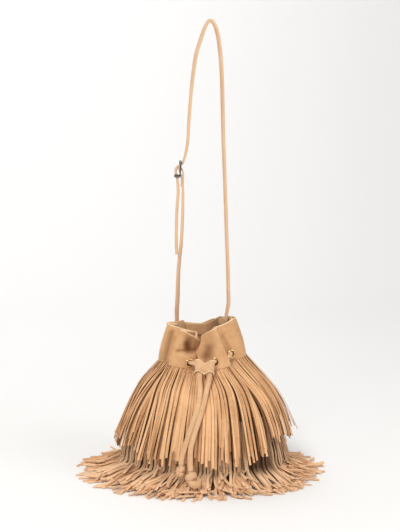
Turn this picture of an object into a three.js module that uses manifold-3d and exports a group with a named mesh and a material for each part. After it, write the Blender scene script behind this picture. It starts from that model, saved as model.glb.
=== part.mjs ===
// A fringed suede drawstring bag with an adjustable shoulder strap.
// Millimetres, +Z up. The origin is the middle of the base panel's underside, the front is -Y.
import * as THREE from 'three';
import { mergeVertices } from 'three/addons/utils/BufferGeometryUtils.js';
import Module from 'manifold-3d';

const wasm = await Module();
wasm.setup();

// ---------------------------------------------------------------- driving dimensions
const clearance = 0.3; // between pieces that touch
const bandThickness = 2;
const facingThickness = 1.6;
const facingGap = 1;
const facingLift = 0.56; // the facing covers the band from here up to the rim
const facingSides = 80;
const facingSamples = 24; // of the band's shape in each fold
const facingSpread = { outside: 8, inside: 9 }; // degrees each way that it keeps clear of the folds
const wallThickness = 2.2;
const wallTopInset = 0.5; // the wall's top edge lies this far inside the band's
const baseThickness = 3;
const seamMiddle = { x: 4, y: -7 }; // middle of the gathered mouth at the fringe seam
const rimMiddle = { x: 0, y: -7 };
const seamHeights = { mean: 213.5, rightRise: 6.5, backRise: 9.5, sideRise: 6 };
const seamCorner = { angle: -48, rise: 7, narrowness: 1.9 }; // the seam is higher at the front's left
const samplesPerFold = 5;
const leastStep = 0.02; // radians between neighbouring places on the pouch's seam

// Gathered mouth. Angles in degrees from the front (-Y) towards +X, radii from the middle:
// a ridge and a valley in turn, at the fringe seam and at the rim.
const folds = [
  { seamAngle: -129, seamRadius: 79, rimAngle: -121, rimRadius: 73, rimHeight: 278 },
  { seamAngle: -106, seamRadius: 61, rimAngle: -99, rimRadius: 49, rimHeight: 281 },
  { seamAngle: -86, seamRadius: 82, rimAngle: -80, rimRadius: 61, rimHeight: 284 },
  { seamAngle: -58.5, seamRadius: 59, rimAngle: -19, rimRadius: 25, rimHeight: 271 },
  { seamAngle: -52, seamRadius: 79, rimAngle: -37, rimRadius: 61, rimHeight: 279 },
  { seamAngle: -4, seamRadius: 47, rimAngle: 12, rimRadius: 28, rimHeight: 252 },
  { seamAngle: -12, seamRadius: 57, rimAngle: 4, rimRadius: 36, rimHeight: 266 },
  { seamAngle: 43, seamRadius: 77, rimAngle: 28, rimRadius: 61, rimHeight: 282 },
  { seamAngle: 49, seamRadius: 58, rimAngle: 36, rimRadius: 53, rimHeight: 284 },
  { seamAngle: 80, seamRadius: 83, rimAngle: 86, rimRadius: 66, rimHeight: 296 },
  { seamAngle: 117, seamRadius: 60, rimAngle: 112, rimRadius: 50, rimHeight: 293 },
  { seamAngle: 148, seamRadius: 78, rimAngle: 150, rimRadius: 60, rimHeight: 284 },
  { seamAngle: 180, seamRadius: 58, rimAngle: 180, rimRadius: 50, rimHeight: 275 },
];

// Eyelets: the flank each is on, its share along that flank and the height of its centre.
const eyelets = [
  { flank: 0, share: 0.5, height: 236 },
  { flank: 1, share: 0.5, height: 230 },
  { flank: 2, share: 0.78, height: 223 },
  { flank: 3, share: 0.5, height: 225 },
  { flank: 4, share: 0.56, height: 218 },
  { flank: 6, share: 0.6, height: 222 },
  { flank: 7, share: 0.5, height: 226 },
  { flank: 8, share: 0.33, height: 231 },
  { flank: 9, share: 0.5, height: 236 },
  { flank: 10, share: 0.5, height: 240 },
  { flank: 11, share: 0.5, height: 241 },
  { flank: 12, share: 0.5, height: 240 },
];
const eyeletSize = { flangeRadius: 8.2, holeRadius: 5.7, barrelRadius: 6.2, flange: 1.05, sides: 12 };

// Outlines of the body at heights: reach to the left, right, front and back, and how much
// of the mouth's folds is left there (1 is all, 0 none).
const wallLevels = [
  { height: 172, left: 88, right: 105, front: 85, back: 77, fold: 0.5 },
  { height: 130, left: 113, right: 130, front: 102, back: 95, fold: 0.15 },
  { height: 70, left: 137, right: 146, front: 117, back: 112, fold: 0 },
  { height: 0, left: 138, right: 140, front: 114, back: 112, fold: 0 },
];
const upperFringeTop = 7; // how far the fringe's top stands out from the wall
const upperFringeLevels = [
  { height: 176, left: 107, right: 126, front: 101, back: 94, fold: 0.5 },
  { height: 150, left: 124, right: 147, front: 115, back: 107, fold: 0.18 },
  { height: 110, left: 143, right: 165, front: 130, back: 121, fold: 0 },
  { height: 57, left: 162, right: 180, front: 145, back: 132, fold: 0 },
];
const upperFringeThickness = 8;
const lowerFringeOuter = [
  { height: 118, left: 128, right: 144.5, front: 115.5, back: 107, fold: 0 },
  { height: 57, left: 152, right: 170, front: 134, back: 122, fold: 0 },
  { height: 26, left: 172, right: 188, front: 143, back: 136, fold: 0 },
  { height: 13.3, left: 190, right: 200, front: 154, back: 149, fold: 0 },
];
const lowerFringeInner = [
  { height: 12.3, left: 166, right: 173, front: 140.5, back: 137, fold: 0 },
  { height: 57, left: 146, right: 164, front: 128.5, back: 117.5, fold: 0 },
  { height: 118, left: 124.5, right: 141, front: 112, back: 104, fold: 0 },
];
// The lower fringe's ends, lying spread on the ground round the bag.
const fringeEndsOuter = [
  { height: 12, left: 165, right: 172, front: 140, back: 136, fold: 0 },
  { height: 12, left: 200, right: 208, front: 160, back: 155, fold: 0 },
  { height: 6, left: 232, right: 236, front: 185, back: 180, fold: 0 },
];
const fringeEndsInner = [
  { height: 0, left: 230, right: 234, front: 183, back: 178, fold: 0 },
  { height: 0, left: 168, right: 174, front: 142, back: 138, fold: 0 },
];

// Drawcord, slider and knots
const cordRadius = 3.9;
const cordSides = 8;
const slider = {
  middle: new THREE.Vector3(8.5, -88, 215.5),
  down: new THREE.Vector3(-0.075, -0.459, -0.885).normalize(),
  length: 24,
  channelSpacing: 19.4,
  lobeRadius: 7.6,
  channelRadius: 4.7,
};
const leftKnot = { middle: new THREE.Vector3(-34, -150, 44.3), radii: [9.5, 9, 10.5] };
const rightKnot = { middle: new THREE.Vector3(-15.3, -160, 32.8), radii: [13.5, 12, 12.5] };
const leftTail = [
  [-33.4, -150.4, 55.1], [-31, -149.3, 70], [-23, -142.4, 96], [-14.2, -133, 121.3],
  [-3.5, -117.5, 150], [0.2, -105, 175], [-0.8, -98, 192],
];
const rightTail = [
  [-16.6, -159.6, 45.6], [-17.2, -156.5, 57], [-16.7, -149, 80.8], [-11.8, -141.5, 101],
  [-4.6, -133, 121.6], [5.2, -118, 150], [11.2, -106.5, 175], [16, -97.5, 194],
];
const leftTurn = [[-1.4, -89.5, 213], [-4.5, -84, 219.5], [-11, -77.5, 221.5]];
const rightTurn = [[18.2, -89.5, 213], [20, -83.5, 219.5], [21.6, -78, 222.4]];

// Strap: half width and half thickness, along routes chosen by hand
const strapHalfWidth = 4.2;
const strapHalfThickness = 2.8;
const strapEndHalfThickness = 1.5;
const strapLap = { right: { flank: 9, share: 0.5 }, left: { flank: 12, share: 0.8 } };
const strapLapLifts = [0.6, 0.8, 1];
const strapLapDepth = 2 + strapEndHalfThickness; // of the strap's middle, from the facing
const longStrapRoute = [
  // x, y, z, half thickness, direction of the width in the XY plane (degrees from +Y to -X)
  [49.6, -1, 318, 2.8, 30], [51.4, -2.5, 345, 2.8, 24], [51.4, -1, 390, 2.8, 20],
  [49.8, 0, 434, 2.8, 20], [47.8, 0, 492, 2.8, 20], [45.8, 0, 547, 2.8, 20],
  [42.6, 0, 633, 2.8, 25], [41, 0, 700, 2.8, 30], [39.4, 0, 745, 2.8, 30],
  [36.6, 0, 782, 2.8, 30], [31.5, 0, 815, 2.8, 30], [25.5, 0, 832, 2.6, 30],
  [18.5, 0, 838.4, 2.6, 30], [10.5, 0, 829, 2.6, 30], [2.5, 0, 808, 2.8, 30],
  [-6.5, 0, 780, 2.8, 30], [-12.2, 0, 745, 2.8, 25], [-16.2, 0, 710, 2.8, 15],
  [-20.2, 0, 660, 2.8, 10], [-22.8, 0, 619, 2.8, 0], [-26, 0, 600, 2.6, 0],
  [-29.4, 0, 587, 2, 0], [-32, 0, 580, 2, 0], [-36.4, 0, 576.3, 2, 0],
  [-41.5, 0, 573.2, 2, 0], [-44.9, 0, 568.3, 2, 0], [-44.9, 0, 563, 2, 0],
  [-43.2, 0, 559, 2, 0], [-42.5, 0, 554.5, 2, 0], [-41.6, 0, 547, 2.4, 0],
  [-40.4, 0, 528, 2.8, 0], [-42.8, 0, 492, 2.8, 0],
  [-44, 0, 434, 2.8, 0], [-43.2, 0, 411, 2.6, 0],
];
const shortStrapRoute = [
  [-45.5, 31, 303, 2.8, -70], [-43.2, 25, 326, 2.8, -50], [-40, 12, 385, 2.8, -25],
  [-34.8, 3, 434, 2.8, -8], [-32, 0, 492, 2.8, 0], [-31.6, 0, 524, 2.6, 0],
  [-31.6, 0, 537, 2, 0], [-31, 0, 553, 1.7, 0], [-31.1, 0, 562, 1.5, 0],
  [-33.2, 0, 569, 1.2, 0], [-34.05, 0, 571, 1.2, 0], [-36, 0, 571.8, 1.2, 0],
  [-37.95, 0, 571, 1.2, 0], [-38.8, 0, 569, 1.2, 0], [-37, 0, 563, 1.2, 0],
  [-34.4, 0, 556.8, 1.2, 0], [-34, 0, 550, 1.2, 0], [-35.1, 0, 537, 1.2, 0],
];
const tab = { width: 23, thickness: 1.8, corner: 6, below: 26 };
const tabRise = { left: 5, right: -1.5 }; // of the tab's top over the rim
const tabDepth = { left: 4, right: 0 }; // further in than the strap's end needs

// Buckle, in its own frame: Z up along the strap, Y across it, -X outwards, bar at the origin
const buckle = {
  middle: new THREE.Vector3(-36, 0, 569),
  tilt: 0.08,
  top: 15.9,
  bottom: -15.7,
  halfWidth: 9.4,
  bar: 3,
  bottomBar: 2.4,
  sideBar: 3.2,
  halfThickness: 1.2,
  pinRadius: 1.3,
  corner: 3,
};
const keeper = { outer: [-10.5, -0.4], inner: [-9, -2.4], halfWidth: 6.8, halfInner: 5, height: 5.4 };
const prong = { eyeInner: 1.6, eyeOuter: 2.7, halfWidth: 1.2, offset: -2.4, radius: 0.9, tip: 16.4 };
const prongSlotHalf = 1.6;

// ---------------------------------------------------------------- helpers
const mix = (a, b, share) => a + (b - a) * share;
const ease = (share) => share * share * (3 - 2 * share);
const radians = THREE.MathUtils.degToRad;

// Joins rings of points, each with the same number of points, into one closed body.
// Closed on itself like a tube bent into a circle, or with a flat cap at each end.
function loft(rings, closedOnItself) {
  const count = rings[0].length;
  const positions = rings.flat().flatMap((p) => [p.x, p.y, p.z]);
  const triangles = [];
  const spans = closedOnItself ? rings.length : rings.length - 1;
  for (let ring = 0; ring < spans; ring += 1) {
    const next = (ring + 1) % rings.length;
    for (let i = 0; i < count; i += 1) {
      const j = (i + 1) % count;
      const corners = [ring * count + i, ring * count + j, next * count + i, next * count + j];
      triangles.push(corners[0], corners[1], corners[3], corners[0], corners[3], corners[2]);
    }
  }
  if (!closedOnItself) {
    const addCap = (ring, flip) => {
      const middle = new THREE.Vector3();
      rings[ring].forEach((p) => middle.add(p));
      middle.divideScalar(count);
      positions.push(middle.x, middle.y, middle.z);
      const centre = positions.length / 3 - 1;
      for (let i = 0; i < count; i += 1) {
        const a = ring * count + i;
        const b = ring * count + ((i + 1) % count);
        triangles.push(centre, flip ? b : a, flip ? a : b);
      }
    };
    addCap(0, true);
    addCap(rings.length - 1, false);
  }
  const geometry = new THREE.BufferGeometry();
  geometry.setAttribute('position', new THREE.Float32BufferAttribute(positions, 3));
  geometry.setIndex(triangles);
  return faceOutwards(geometry);
}

function signedVolume(geometry) {
  const p = geometry.attributes.position;
  const index = geometry.index;
  const [a, b, c] = [new THREE.Vector3(), new THREE.Vector3(), new THREE.Vector3()];
  let volume = 0;
  for (let i = 0; i < index.count; i += 3) {
    a.fromBufferAttribute(p, index.getX(i));
    b.fromBufferAttribute(p, index.getX(i + 1));
    c.fromBufferAttribute(p, index.getX(i + 2));
    volume += a.dot(b.cross(c)) / 6;
  }
  return volume;
}

function faceOutwards(geometry) {
  if (signedVolume(geometry) < 0) {
    const index = geometry.index;
    for (let i = 0; i < index.count; i += 3) {
      const first = index.getX(i);
      index.setX(i, index.getX(i + 1));
      index.setX(i + 1, first);
    }
  }
  return geometry;
}

// Moves a ring of points sideways in the XY plane: outwards if the distance is positive.
function offsetRing(ring, distance) {
  const count = ring.length;
  return ring.map((point, i) => {
    const before = ring[(i + count - 1) % count];
    const after = ring[(i + 1) % count];
    const first = new THREE.Vector2(point.x - before.x, point.y - before.y).normalize();
    const second = new THREE.Vector2(after.x - point.x, after.y - point.y).normalize();
    const along = first.clone().add(second).normalize();
    const stretch = Math.min(1 / Math.max(along.dot(second), 0.5), 1.35);
    const outward = new THREE.Vector2(along.y, -along.x);
    return new THREE.Vector3(
      point.x + outward.x * distance * stretch,
      point.y + outward.y * distance * stretch,
      point.z,
    );
  });
}

function toManifold(geometry) {
  const bare = geometry.clone();
  bare.deleteAttribute('normal');
  bare.deleteAttribute('uv');
  const merged = mergeVertices(bare, 1e-4);
  const vertProperties = new Float32Array(merged.attributes.position.array);
  const triVerts = new Uint32Array(merged.index.array);
  return new wasm.Manifold(new wasm.Mesh({ numProp: 3, vertProperties, triVerts }));
}

function fromManifold(solid) {
  const result = solid.getMesh();
  const geometry = new THREE.BufferGeometry();
  geometry.setAttribute('position', new THREE.Float32BufferAttribute(result.vertProperties, 3));
  geometry.setIndex(Array.from(result.triVerts));
  return geometry;
}

function cutAway(geometry, tools) {
  let solid = toManifold(geometry);
  tools.forEach((tool) => {
    solid = solid.subtract(toManifold(tool));
  });
  return fromManifold(solid);
}

function joinAll(geometries) {
  return fromManifold(geometries.map(toManifold).reduce((sum, piece) => sum.add(piece)));
}

// A box given by its lowest and highest corners.
function boxBetween(low, high) {
  const box = new THREE.BoxGeometry(high[0] - low[0], high[1] - low[1], high[2] - low[2]);
  const middle = low.map((value, axis) => (value + high[axis]) / 2);
  return box.translate(...middle);
}

// Turns a shape whose axis is local Z so that the axis points along a direction from a point.
function placeAlong(geometry, origin, direction) {
  const turn = new THREE.Quaternion().setFromUnitVectors(new THREE.Vector3(0, 0, 1), direction);
  return geometry.applyQuaternion(turn).translate(origin.x, origin.y, origin.z);
}

// ---------------------------------------------------------------- the gathered mouth
function cornerRise(angle) {
  const turn = seamCorner.narrowness * (angle - seamCorner.angle);
  return Math.abs(turn) < 90 ? seamCorner.rise * Math.cos(radians(turn)) ** 2 : 0;
}

const seamHeight = (angle) => seamHeights.mean + cornerRise(angle)
  + seamHeights.rightRise * Math.sin(radians(angle))
  - seamHeights.backRise * Math.cos(radians(angle))
  + seamHeights.sideRise * Math.sin(radians(angle)) ** 2;

// A place on the outside of the band: fold and share along the flank after it, and lift from
// 0 at the seam to 1 at the rim.
function bandPlace(fold, share, lift) {
  const here = folds[fold % folds.length];
  const next = folds[(fold + 1) % folds.length];
  const fullTurn = here.seamAngle - next.seamAngle > 180 ? 360 : 0;
  const seamAngle = mix(here.seamAngle, next.seamAngle + fullTurn, share);
  const rimAngle = mix(here.rimAngle, next.rimAngle + fullTurn, share);
  const eased = ease(share);
  const seamRadius = mix(here.seamRadius, next.seamRadius, eased);
  const rimRadius = mix(here.rimRadius, next.rimRadius, eased);
  const taper = lift ** 1.5; // the band draws in faster near the rim
  const angle = radians(mix(seamAngle, rimAngle, lift));
  const radius = mix(seamRadius, rimRadius, taper);
  return new THREE.Vector3(
    mix(seamMiddle.x, rimMiddle.x, lift) + radius * Math.sin(angle),
    mix(seamMiddle.y, rimMiddle.y, lift) - radius * Math.cos(angle),
    mix(seamHeight(seamAngle), mix(here.rimHeight, next.rimHeight, eased), lift),
  );
}

function bandRing(lift) {
  const ring = [];
  folds.forEach((_, fold) => {
    for (let i = 0; i < samplesPerFold; i += 1) {
      ring.push(bandPlace(fold, i / samplesPerFold, lift));
    }
  });
  return ring;
}

function bandNormal(fold, share, lift) {
  const step = 0.04;
  const across = bandPlace(fold, share + step, lift).sub(bandPlace(fold, share - step, lift));
  const up = bandPlace(fold, share, lift + step).sub(bandPlace(fold, share, lift - step));
  return across.cross(up).normalize();
}

// The place of an eyelet's middle on the band's own middle surface, and its outward axis.
const eyeletPlaces = eyelets.map(({ flank, share, height }) => {
  const low = bandPlace(flank, share, 0).z;
  const high = bandPlace(flank, share, 1).z;
  const lift = (height - low) / (high - low);
  const outward = bandNormal(flank, share, lift);
  const middle = bandPlace(flank, share, lift).addScaledVector(outward, -bandThickness / 2);
  return { middle, outward };
});

const eyeletSeat = bandThickness / 2 + clearance; // from the band's middle to a flange's underside

function eyeletCutters({ middle, outward }) {
  const sides = 12;
  const seat = bandThickness / 2 + 0.05;
  const depth = 6;
  const hole = new THREE.CylinderGeometry(6.6, 6.6, 12, sides).rotateX(Math.PI / 2);
  const front = new THREE.CylinderGeometry(8.9, 8.9, depth, sides).rotateX(Math.PI / 2);
  const back = front.clone();
  front.translate(0, 0, seat + depth / 2);
  back.translate(0, 0, -seat - depth / 2);
  return [hole, front, back].map((tool) => placeAlong(tool, middle, outward));
}

function makeBand() {
  const lifts = [0, 0.1, 0.3, 0.55, 0.8, 1];
  const outer = lifts.map(bandRing);
  const inner = outer.map((ring) => offsetRing(ring, -bandThickness)).reverse();
  return cutAway(loft([...outer, ...inner], true), eyeletPlaces.flatMap(eyeletCutters));
}

// Keeps inside every layer of the folds: in each direction it takes the band's least radius
// nearby, less its depth.
function insideRing(lift, depth, spread) {
  const middle = { x: mix(seamMiddle.x, rimMiddle.x, lift), y: mix(seamMiddle.y, rimMiddle.y, lift) };
  const samples = [];
  folds.forEach((_, fold) => {
    for (let i = 0; i < facingSamples; i += 1) {
      const p = bandPlace(fold, i / facingSamples, lift);
      samples.push({
        angle: Math.atan2(p.x - middle.x, middle.y - p.y),
        radius: Math.hypot(p.x - middle.x, p.y - middle.y),
        height: p.z,
      });
    }
  });
  return Array.from({ length: facingSides }, (_, side) => {
    const angle = (2 * Math.PI * side) / facingSides;
    const near = samples.filter((sample) => Math.cos(sample.angle - angle) > Math.cos(radians(spread)));
    const least = near.reduce((best, sample) => (sample.radius < best.radius ? sample : best));
    const radius = least.radius - depth;
    return new THREE.Vector3(
      middle.x + radius * Math.sin(angle),
      middle.y - radius * Math.cos(angle),
      least.height,
    );
  });
}

const facingDepth = bandThickness + facingGap;

function makeFacing() {
  const lifts = [facingLift, 0.78, 0.985];
  const outer = lifts.map((lift) => insideRing(lift, facingDepth, facingSpread.outside));
  const inner = lifts.map((lift) => insideRing(lift, facingDepth + facingThickness, facingSpread.inside));
  return loft([...outer, ...inner.reverse()], true);
}

// A place on the facing's inner side, with the outward direction there.
function facingPlace(fold, share, lift) {
  const ring = insideRing(lift, facingDepth + facingThickness, facingSpread.inside);
  const band = bandPlace(fold, share, lift);
  const angle = Math.atan2(
    band.x - mix(seamMiddle.x, rimMiddle.x, lift),
    mix(seamMiddle.y, rimMiddle.y, lift) - band.y,
  );
  const at = ((angle / (2 * Math.PI) + 1) % 1) * facingSides;
  const around = (steps) => ring[(Math.floor(at) + steps + facingSides) % facingSides];
  const place = around(0).clone().lerp(around(1), at - Math.floor(at));
  const [before, after] = [around(-2), around(3)];
  const outward = new THREE.Vector3(after.y - before.y, before.x - after.x, 0).normalize();
  return { place, outward };
}

// ---------------------------------------------------------------- body and fringe
// The seam as the pouch and the fringe follow it: always onwards round the bag, without the
// place where the band is folded back over itself.
function seamRing() {
  let last = -Infinity;
  return bandRing(0).map(({ x, y, z }) => {
    const [dx, dy] = [x - seamMiddle.x, y - seamMiddle.y];
    let angle = Math.atan2(dx, -dy);
    if (angle < last - Math.PI) angle += 2 * Math.PI;
    angle = Math.max(angle, last + leastStep);
    last = angle;
    const radius = Math.hypot(dx, dy);
    return new THREE.Vector3(
      seamMiddle.x + radius * Math.sin(angle),
      seamMiddle.y - radius * Math.cos(angle),
      z,
    );
  });
}

// A ring round the body at a level, with some of the mouth's folds left in it.
function bodyRing({ height, left, right, front, back, fold }) {
  const middle = { x: (right - left) / 2, y: (back - front) / 2 };
  const halfWidth = (right + left) / 2;
  const halfDepth = (back + front) / 2;
  const meanRadius = (halfWidth + halfDepth) / 2;
  return seamRing().map((point) => {
    const [dx, dy] = [point.x - seamMiddle.x, point.y - seamMiddle.y];
    const angle = Math.atan2(dx, -dy);
    const smooth = 1 / Math.hypot(Math.sin(angle) / halfWidth, Math.cos(angle) / halfDepth);
    const pleated = Math.hypot(dx, dy) * (meanRadius / 70); // 70 is the mouth's mean radius
    const radius = mix(smooth, pleated, fold);
    return new THREE.Vector3(
      middle.x + radius * Math.sin(angle),
      middle.y - radius * Math.cos(angle),
      height,
    );
  });
}

const lowered = (ring, drop) => ring.map((p) => new THREE.Vector3(p.x, p.y, p.z - drop));

function makeWall() {
  const top = offsetRing(lowered(seamRing(), clearance), -wallTopInset);
  const levels = wallLevels.map(bodyRing);
  levels[levels.length - 1].forEach((p) => p.setZ(baseThickness + clearance));
  const outer = [top, ...levels];
  const inner = outer.map((ring) => offsetRing(ring, -wallThickness)).reverse();
  return loft([...outer, ...inner], true);
}

function makeBase() {
  const foot = bodyRing(wallLevels[wallLevels.length - 1]);
  const raised = foot.map((p) => new THREE.Vector3(p.x, p.y, baseThickness));
  return loft([raised, foot], false);
}

function makeUpperFringe() {
  const seam = lowered(seamRing(), 2 * clearance);
  const outer = [offsetRing(seam, upperFringeTop), ...upperFringeLevels.map(bodyRing)];
  const inner = [offsetRing(seam, 1)];
  upperFringeLevels.forEach((level) => {
    inner.push(offsetRing(bodyRing(level), -upperFringeThickness));
  });
  return loft([...outer, ...inner.reverse()], true);
}

const ringBody = (levels) => loft(levels.map(bodyRing), true);

// ---------------------------------------------------------------- eyelets
function ringOfProfile(profile, sides, { middle, outward }) {
  const points = profile.map(([radius, height]) => new THREE.Vector2(radius, height));
  points.push(points[0].clone());
  const ring = new THREE.LatheGeometry(points, sides).rotateX(Math.PI / 2);
  return placeAlong(ring, middle, outward);
}

function makeEyelet(place) {
  const { flangeRadius, holeRadius, barrelRadius, flange, sides } = eyeletSize;
  const face = eyeletSeat + flange;
  const profile = [
    [holeRadius, -face], [barrelRadius, -face], [barrelRadius, eyeletSeat],
    [flangeRadius, eyeletSeat], [flangeRadius - 1.2, face], [holeRadius, face],
  ];
  return ringOfProfile(profile, sides, place);
}

function makeWasher(place) {
  const { flangeRadius, barrelRadius, flange, sides } = eyeletSize;
  const hole = barrelRadius + clearance;
  const profile = [
    [hole, -eyeletSeat - flange], [flangeRadius, -eyeletSeat - flange],
    [flangeRadius, -eyeletSeat], [hole, -eyeletSeat],
  ];
  return ringOfProfile(profile, sides, place);
}

// ---------------------------------------------------------------- drawcord and slider
// The cord's route steps evenly from one chosen point to the next, so it is finest where the
// points are close together.
class CordRoute extends THREE.CatmullRomCurve3 {
  getPointAt(share, target) {
    return this.getPoint(share, target);
  }

  getTangentAt(share, target) {
    return this.getTangent(share, target);
  }

  getSpacedPoints(divisions) {
    return this.getPoints(divisions);
  }
}

// From the left knot through the slider, round the mouth through every eyelet, and back out
// to the right knot.
function cordPoints() {
  const reach = 5.5; // the cord runs straight this far each side of an eyelet
  const through = (index, side) => {
    const { middle, outward } = eyeletPlaces[index];
    return middle.clone().addScaledVector(outward, reach * side);
  };
  const points = [...leftTail, ...leftTurn].map((p) => new THREE.Vector3(...p));
  const order = [4, 3, 2, 1, 0, 11, 10, 9, 8, 7, 6, 5];
  order.forEach((index, position) => {
    const inwards = position % 2 === 0 ? 1 : -1; // goes in at one eyelet and out at the next
    points.push(through(index, inwards), through(index, 0), through(index, -inwards));
    if (position < order.length - 1) {
      const after = through(order[position + 1], -inwards);
      const from = through(index, -inwards);
      if (from.distanceTo(after) > 18) points.push(from.lerp(after, 0.5));
    }
  });
  points.push(...[...rightTail, ...rightTurn].reverse().sort((a, b) => b[2] - a[2])
    .map((p) => new THREE.Vector3(...p)));
  return points;
}

function tubeAlong(points, radius, sides, stepsPerPoint) {
  const outline = new THREE.Shape();
  for (let i = 0; i < sides; i += 1) {
    const angle = (2 * Math.PI * i) / sides;
    const corner = [radius * Math.cos(angle), radius * Math.sin(angle)];
    if (i === 0) outline.moveTo(...corner);
    else outline.lineTo(...corner);
  }
  outline.closePath();
  const extrudePath = new CordRoute(points);
  const steps = stepsPerPoint * (points.length - 1);
  return new THREE.ExtrudeGeometry(outline, { steps, bevelEnabled: false, extrudePath });
}

function makeKnot({ middle, radii }) {
  const ball = new THREE.SphereGeometry(1, 12, 8).scale(...radii);
  return ball.translate(middle.x, middle.y, middle.z);
}

// Two lobes side by side, cut through along the cord's own route.
function makeSlider() {
  const { middle, down, length, channelSpacing, lobeRadius, channelRadius } = slider;
  const half = channelSpacing / 2;
  const outline = new THREE.Shape();
  const waist = Math.PI / 2.6; // each lobe's arc ends this far short of the middle
  outline.absarc(half, 0, lobeRadius, -Math.PI + waist, Math.PI - waist, false);
  outline.absarc(-half, 0, lobeRadius, waist, 2 * Math.PI - waist, false);
  const body = new THREE.ExtrudeGeometry(outline, { depth: length, bevelEnabled: false, curveSegments: 9 });
  body.translate(0, 0, -length / 2);
  const turn = new THREE.Matrix4();
  const across = new THREE.Vector3(1, 0, 0).addScaledVector(down, -down.x).normalize();
  turn.makeBasis(across, down.clone().cross(across), down).setPosition(middle);
  body.applyMatrix4(turn);
  const all = cordPoints();
  const leftRun = all.slice(leftTail.length - 3, leftTail.length + leftTurn.length + 1);
  const rightRun = all.slice(all.length - rightTail.length - rightTurn.length - 1, all.length - rightTail.length + 3);
  return cutAway(body, [leftRun, rightRun].map((run) => tubeAlong(run, channelRadius, 10, 3)));
}

// ---------------------------------------------------------------- strap
// A strap with a rounded section, swept along stations of place, half thickness and the
// direction of its width.
function sweepStrap(stations, stepsPerStation) {
  const route = new THREE.CatmullRomCurve3(stations.map(({ place }) => place), false, 'centripetal');
  const total = (stations.length - 1) * stepsPerStation;
  const rings = [];
  for (let i = 0; i <= total; i += 1) {
    const share = i / total;
    const at = Math.min(share * (stations.length - 1), stations.length - 1.0001);
    const [here, next] = [stations[Math.floor(at)], stations[Math.floor(at) + 1]];
    const blend = at - Math.floor(at);
    const halfThickness = mix(here.halfThickness, next.halfThickness, blend);
    const along = route.getTangent(share);
    const across = here.across.clone().lerp(next.across, blend);
    across.addScaledVector(along, -across.dot(along)).normalize();
    const outward = along.clone().cross(across);
    const middle = route.getPoint(share);
    const [w, t] = [strapHalfWidth, halfThickness];
    const section = [
      [w, t / 3], [w - t / 2, t], [t / 2 - w, t], [-w, t / 3],
      [-w, -t / 3], [t / 2 - w, -t], [w - t / 2, -t], [w, -t / 3],
    ];
    rings.push(section.map(([x, y]) => middle.clone().addScaledVector(across, x).addScaledVector(outward, y)));
  }
  return loft(rings, false);
}

const station = ([x, y, z, halfThickness, turn]) => ({
  place: new THREE.Vector3(x, y, z),
  halfThickness,
  across: new THREE.Vector3(-Math.sin(radians(turn)), Math.cos(radians(turn)), 0),
});

// Where a strap's end lies inside the mouth, against the facing.
function lapStations({ flank, share }) {
  return strapLapLifts.map((lift) => {
    const { place, outward } = facingPlace(flank, share, lift);
    return {
      place: place.addScaledVector(outward, -strapLapDepth),
      halfThickness: strapEndHalfThickness,
      across: new THREE.Vector3(-outward.y, outward.x, 0),
    };
  });
}

function lapAcross(stations) {
  stations.forEach(({ across }) => {
    if (across.y < 0) across.negate();
  });
  return stations;
}

function makeLongStrap() {
  const stations = [...lapAcross(lapStations(strapLap.right)), ...longStrapRoute.map(station)];
  const hole = boxBetween([-41.6, -prongSlotHalf, 570], [-35.9, prongSlotHalf, 590]);
  return cutAway(sweepStrap(stations, 2), [hole]);
}

function makeShortStrap() {
  const stations = [...lapAcross(lapStations(strapLap.left)), ...shortStrapRoute.map(station)];
  const slot = boxBetween([-41, -prongSlotHalf, 563], [-32.6, prongSlotHalf, 576]);
  return cutAway(sweepStrap(stations, 2), [slot]);
}

// A leather tab over the strap's end, inside the mouth.
function makeTab({ flank, share }, rise, further) {
  const { width, thickness, corner, below } = tab;
  const { place: top, outward } = facingPlace(flank, share, 1);
  const low = facingPlace(flank, share, strapLapLifts[0]).place;
  const depth = strapLapDepth + strapEndHalfThickness + 2 * facingGap + further;
  const outline = new THREE.Shape();
  outline.moveTo(-width / 2, -below);
  outline.lineTo(width / 2, -below);
  outline.lineTo(width / 2, rise - corner);
  outline.absarc(width / 2 - corner, rise - corner, corner, 0, Math.PI / 2, false);
  outline.absarc(corner - width / 2, rise - corner, corner, Math.PI / 2, Math.PI, false);
  outline.closePath();
  const plate = new THREE.ExtrudeGeometry(outline, { depth: thickness, bevelEnabled: false, curveSegments: 4 });
  const up = top.clone().sub(low).normalize();
  const inward = outward.clone().negate();
  inward.addScaledVector(up, -inward.dot(up)).normalize();
  const place = new THREE.Matrix4().makeBasis(up.clone().cross(inward), up, inward);
  place.setPosition(top.addScaledVector(outward, -depth));
  return plate.applyMatrix4(place);
}

// ---------------------------------------------------------------- buckle
function roundedRectangle(low, high, corner) {
  const outline = new THREE.Shape();
  const [x0, y0] = low;
  const [x1, y1] = high;
  outline.absarc(x1 - corner, y0 + corner, corner, -Math.PI / 2, 0, false);
  outline.absarc(x1 - corner, y1 - corner, corner, 0, Math.PI / 2, false);
  outline.absarc(x0 + corner, y1 - corner, corner, Math.PI / 2, Math.PI, false);
  outline.absarc(x0 + corner, y0 + corner, corner, Math.PI, 1.5 * Math.PI, false);
  outline.closePath();
  return outline;
}

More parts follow.
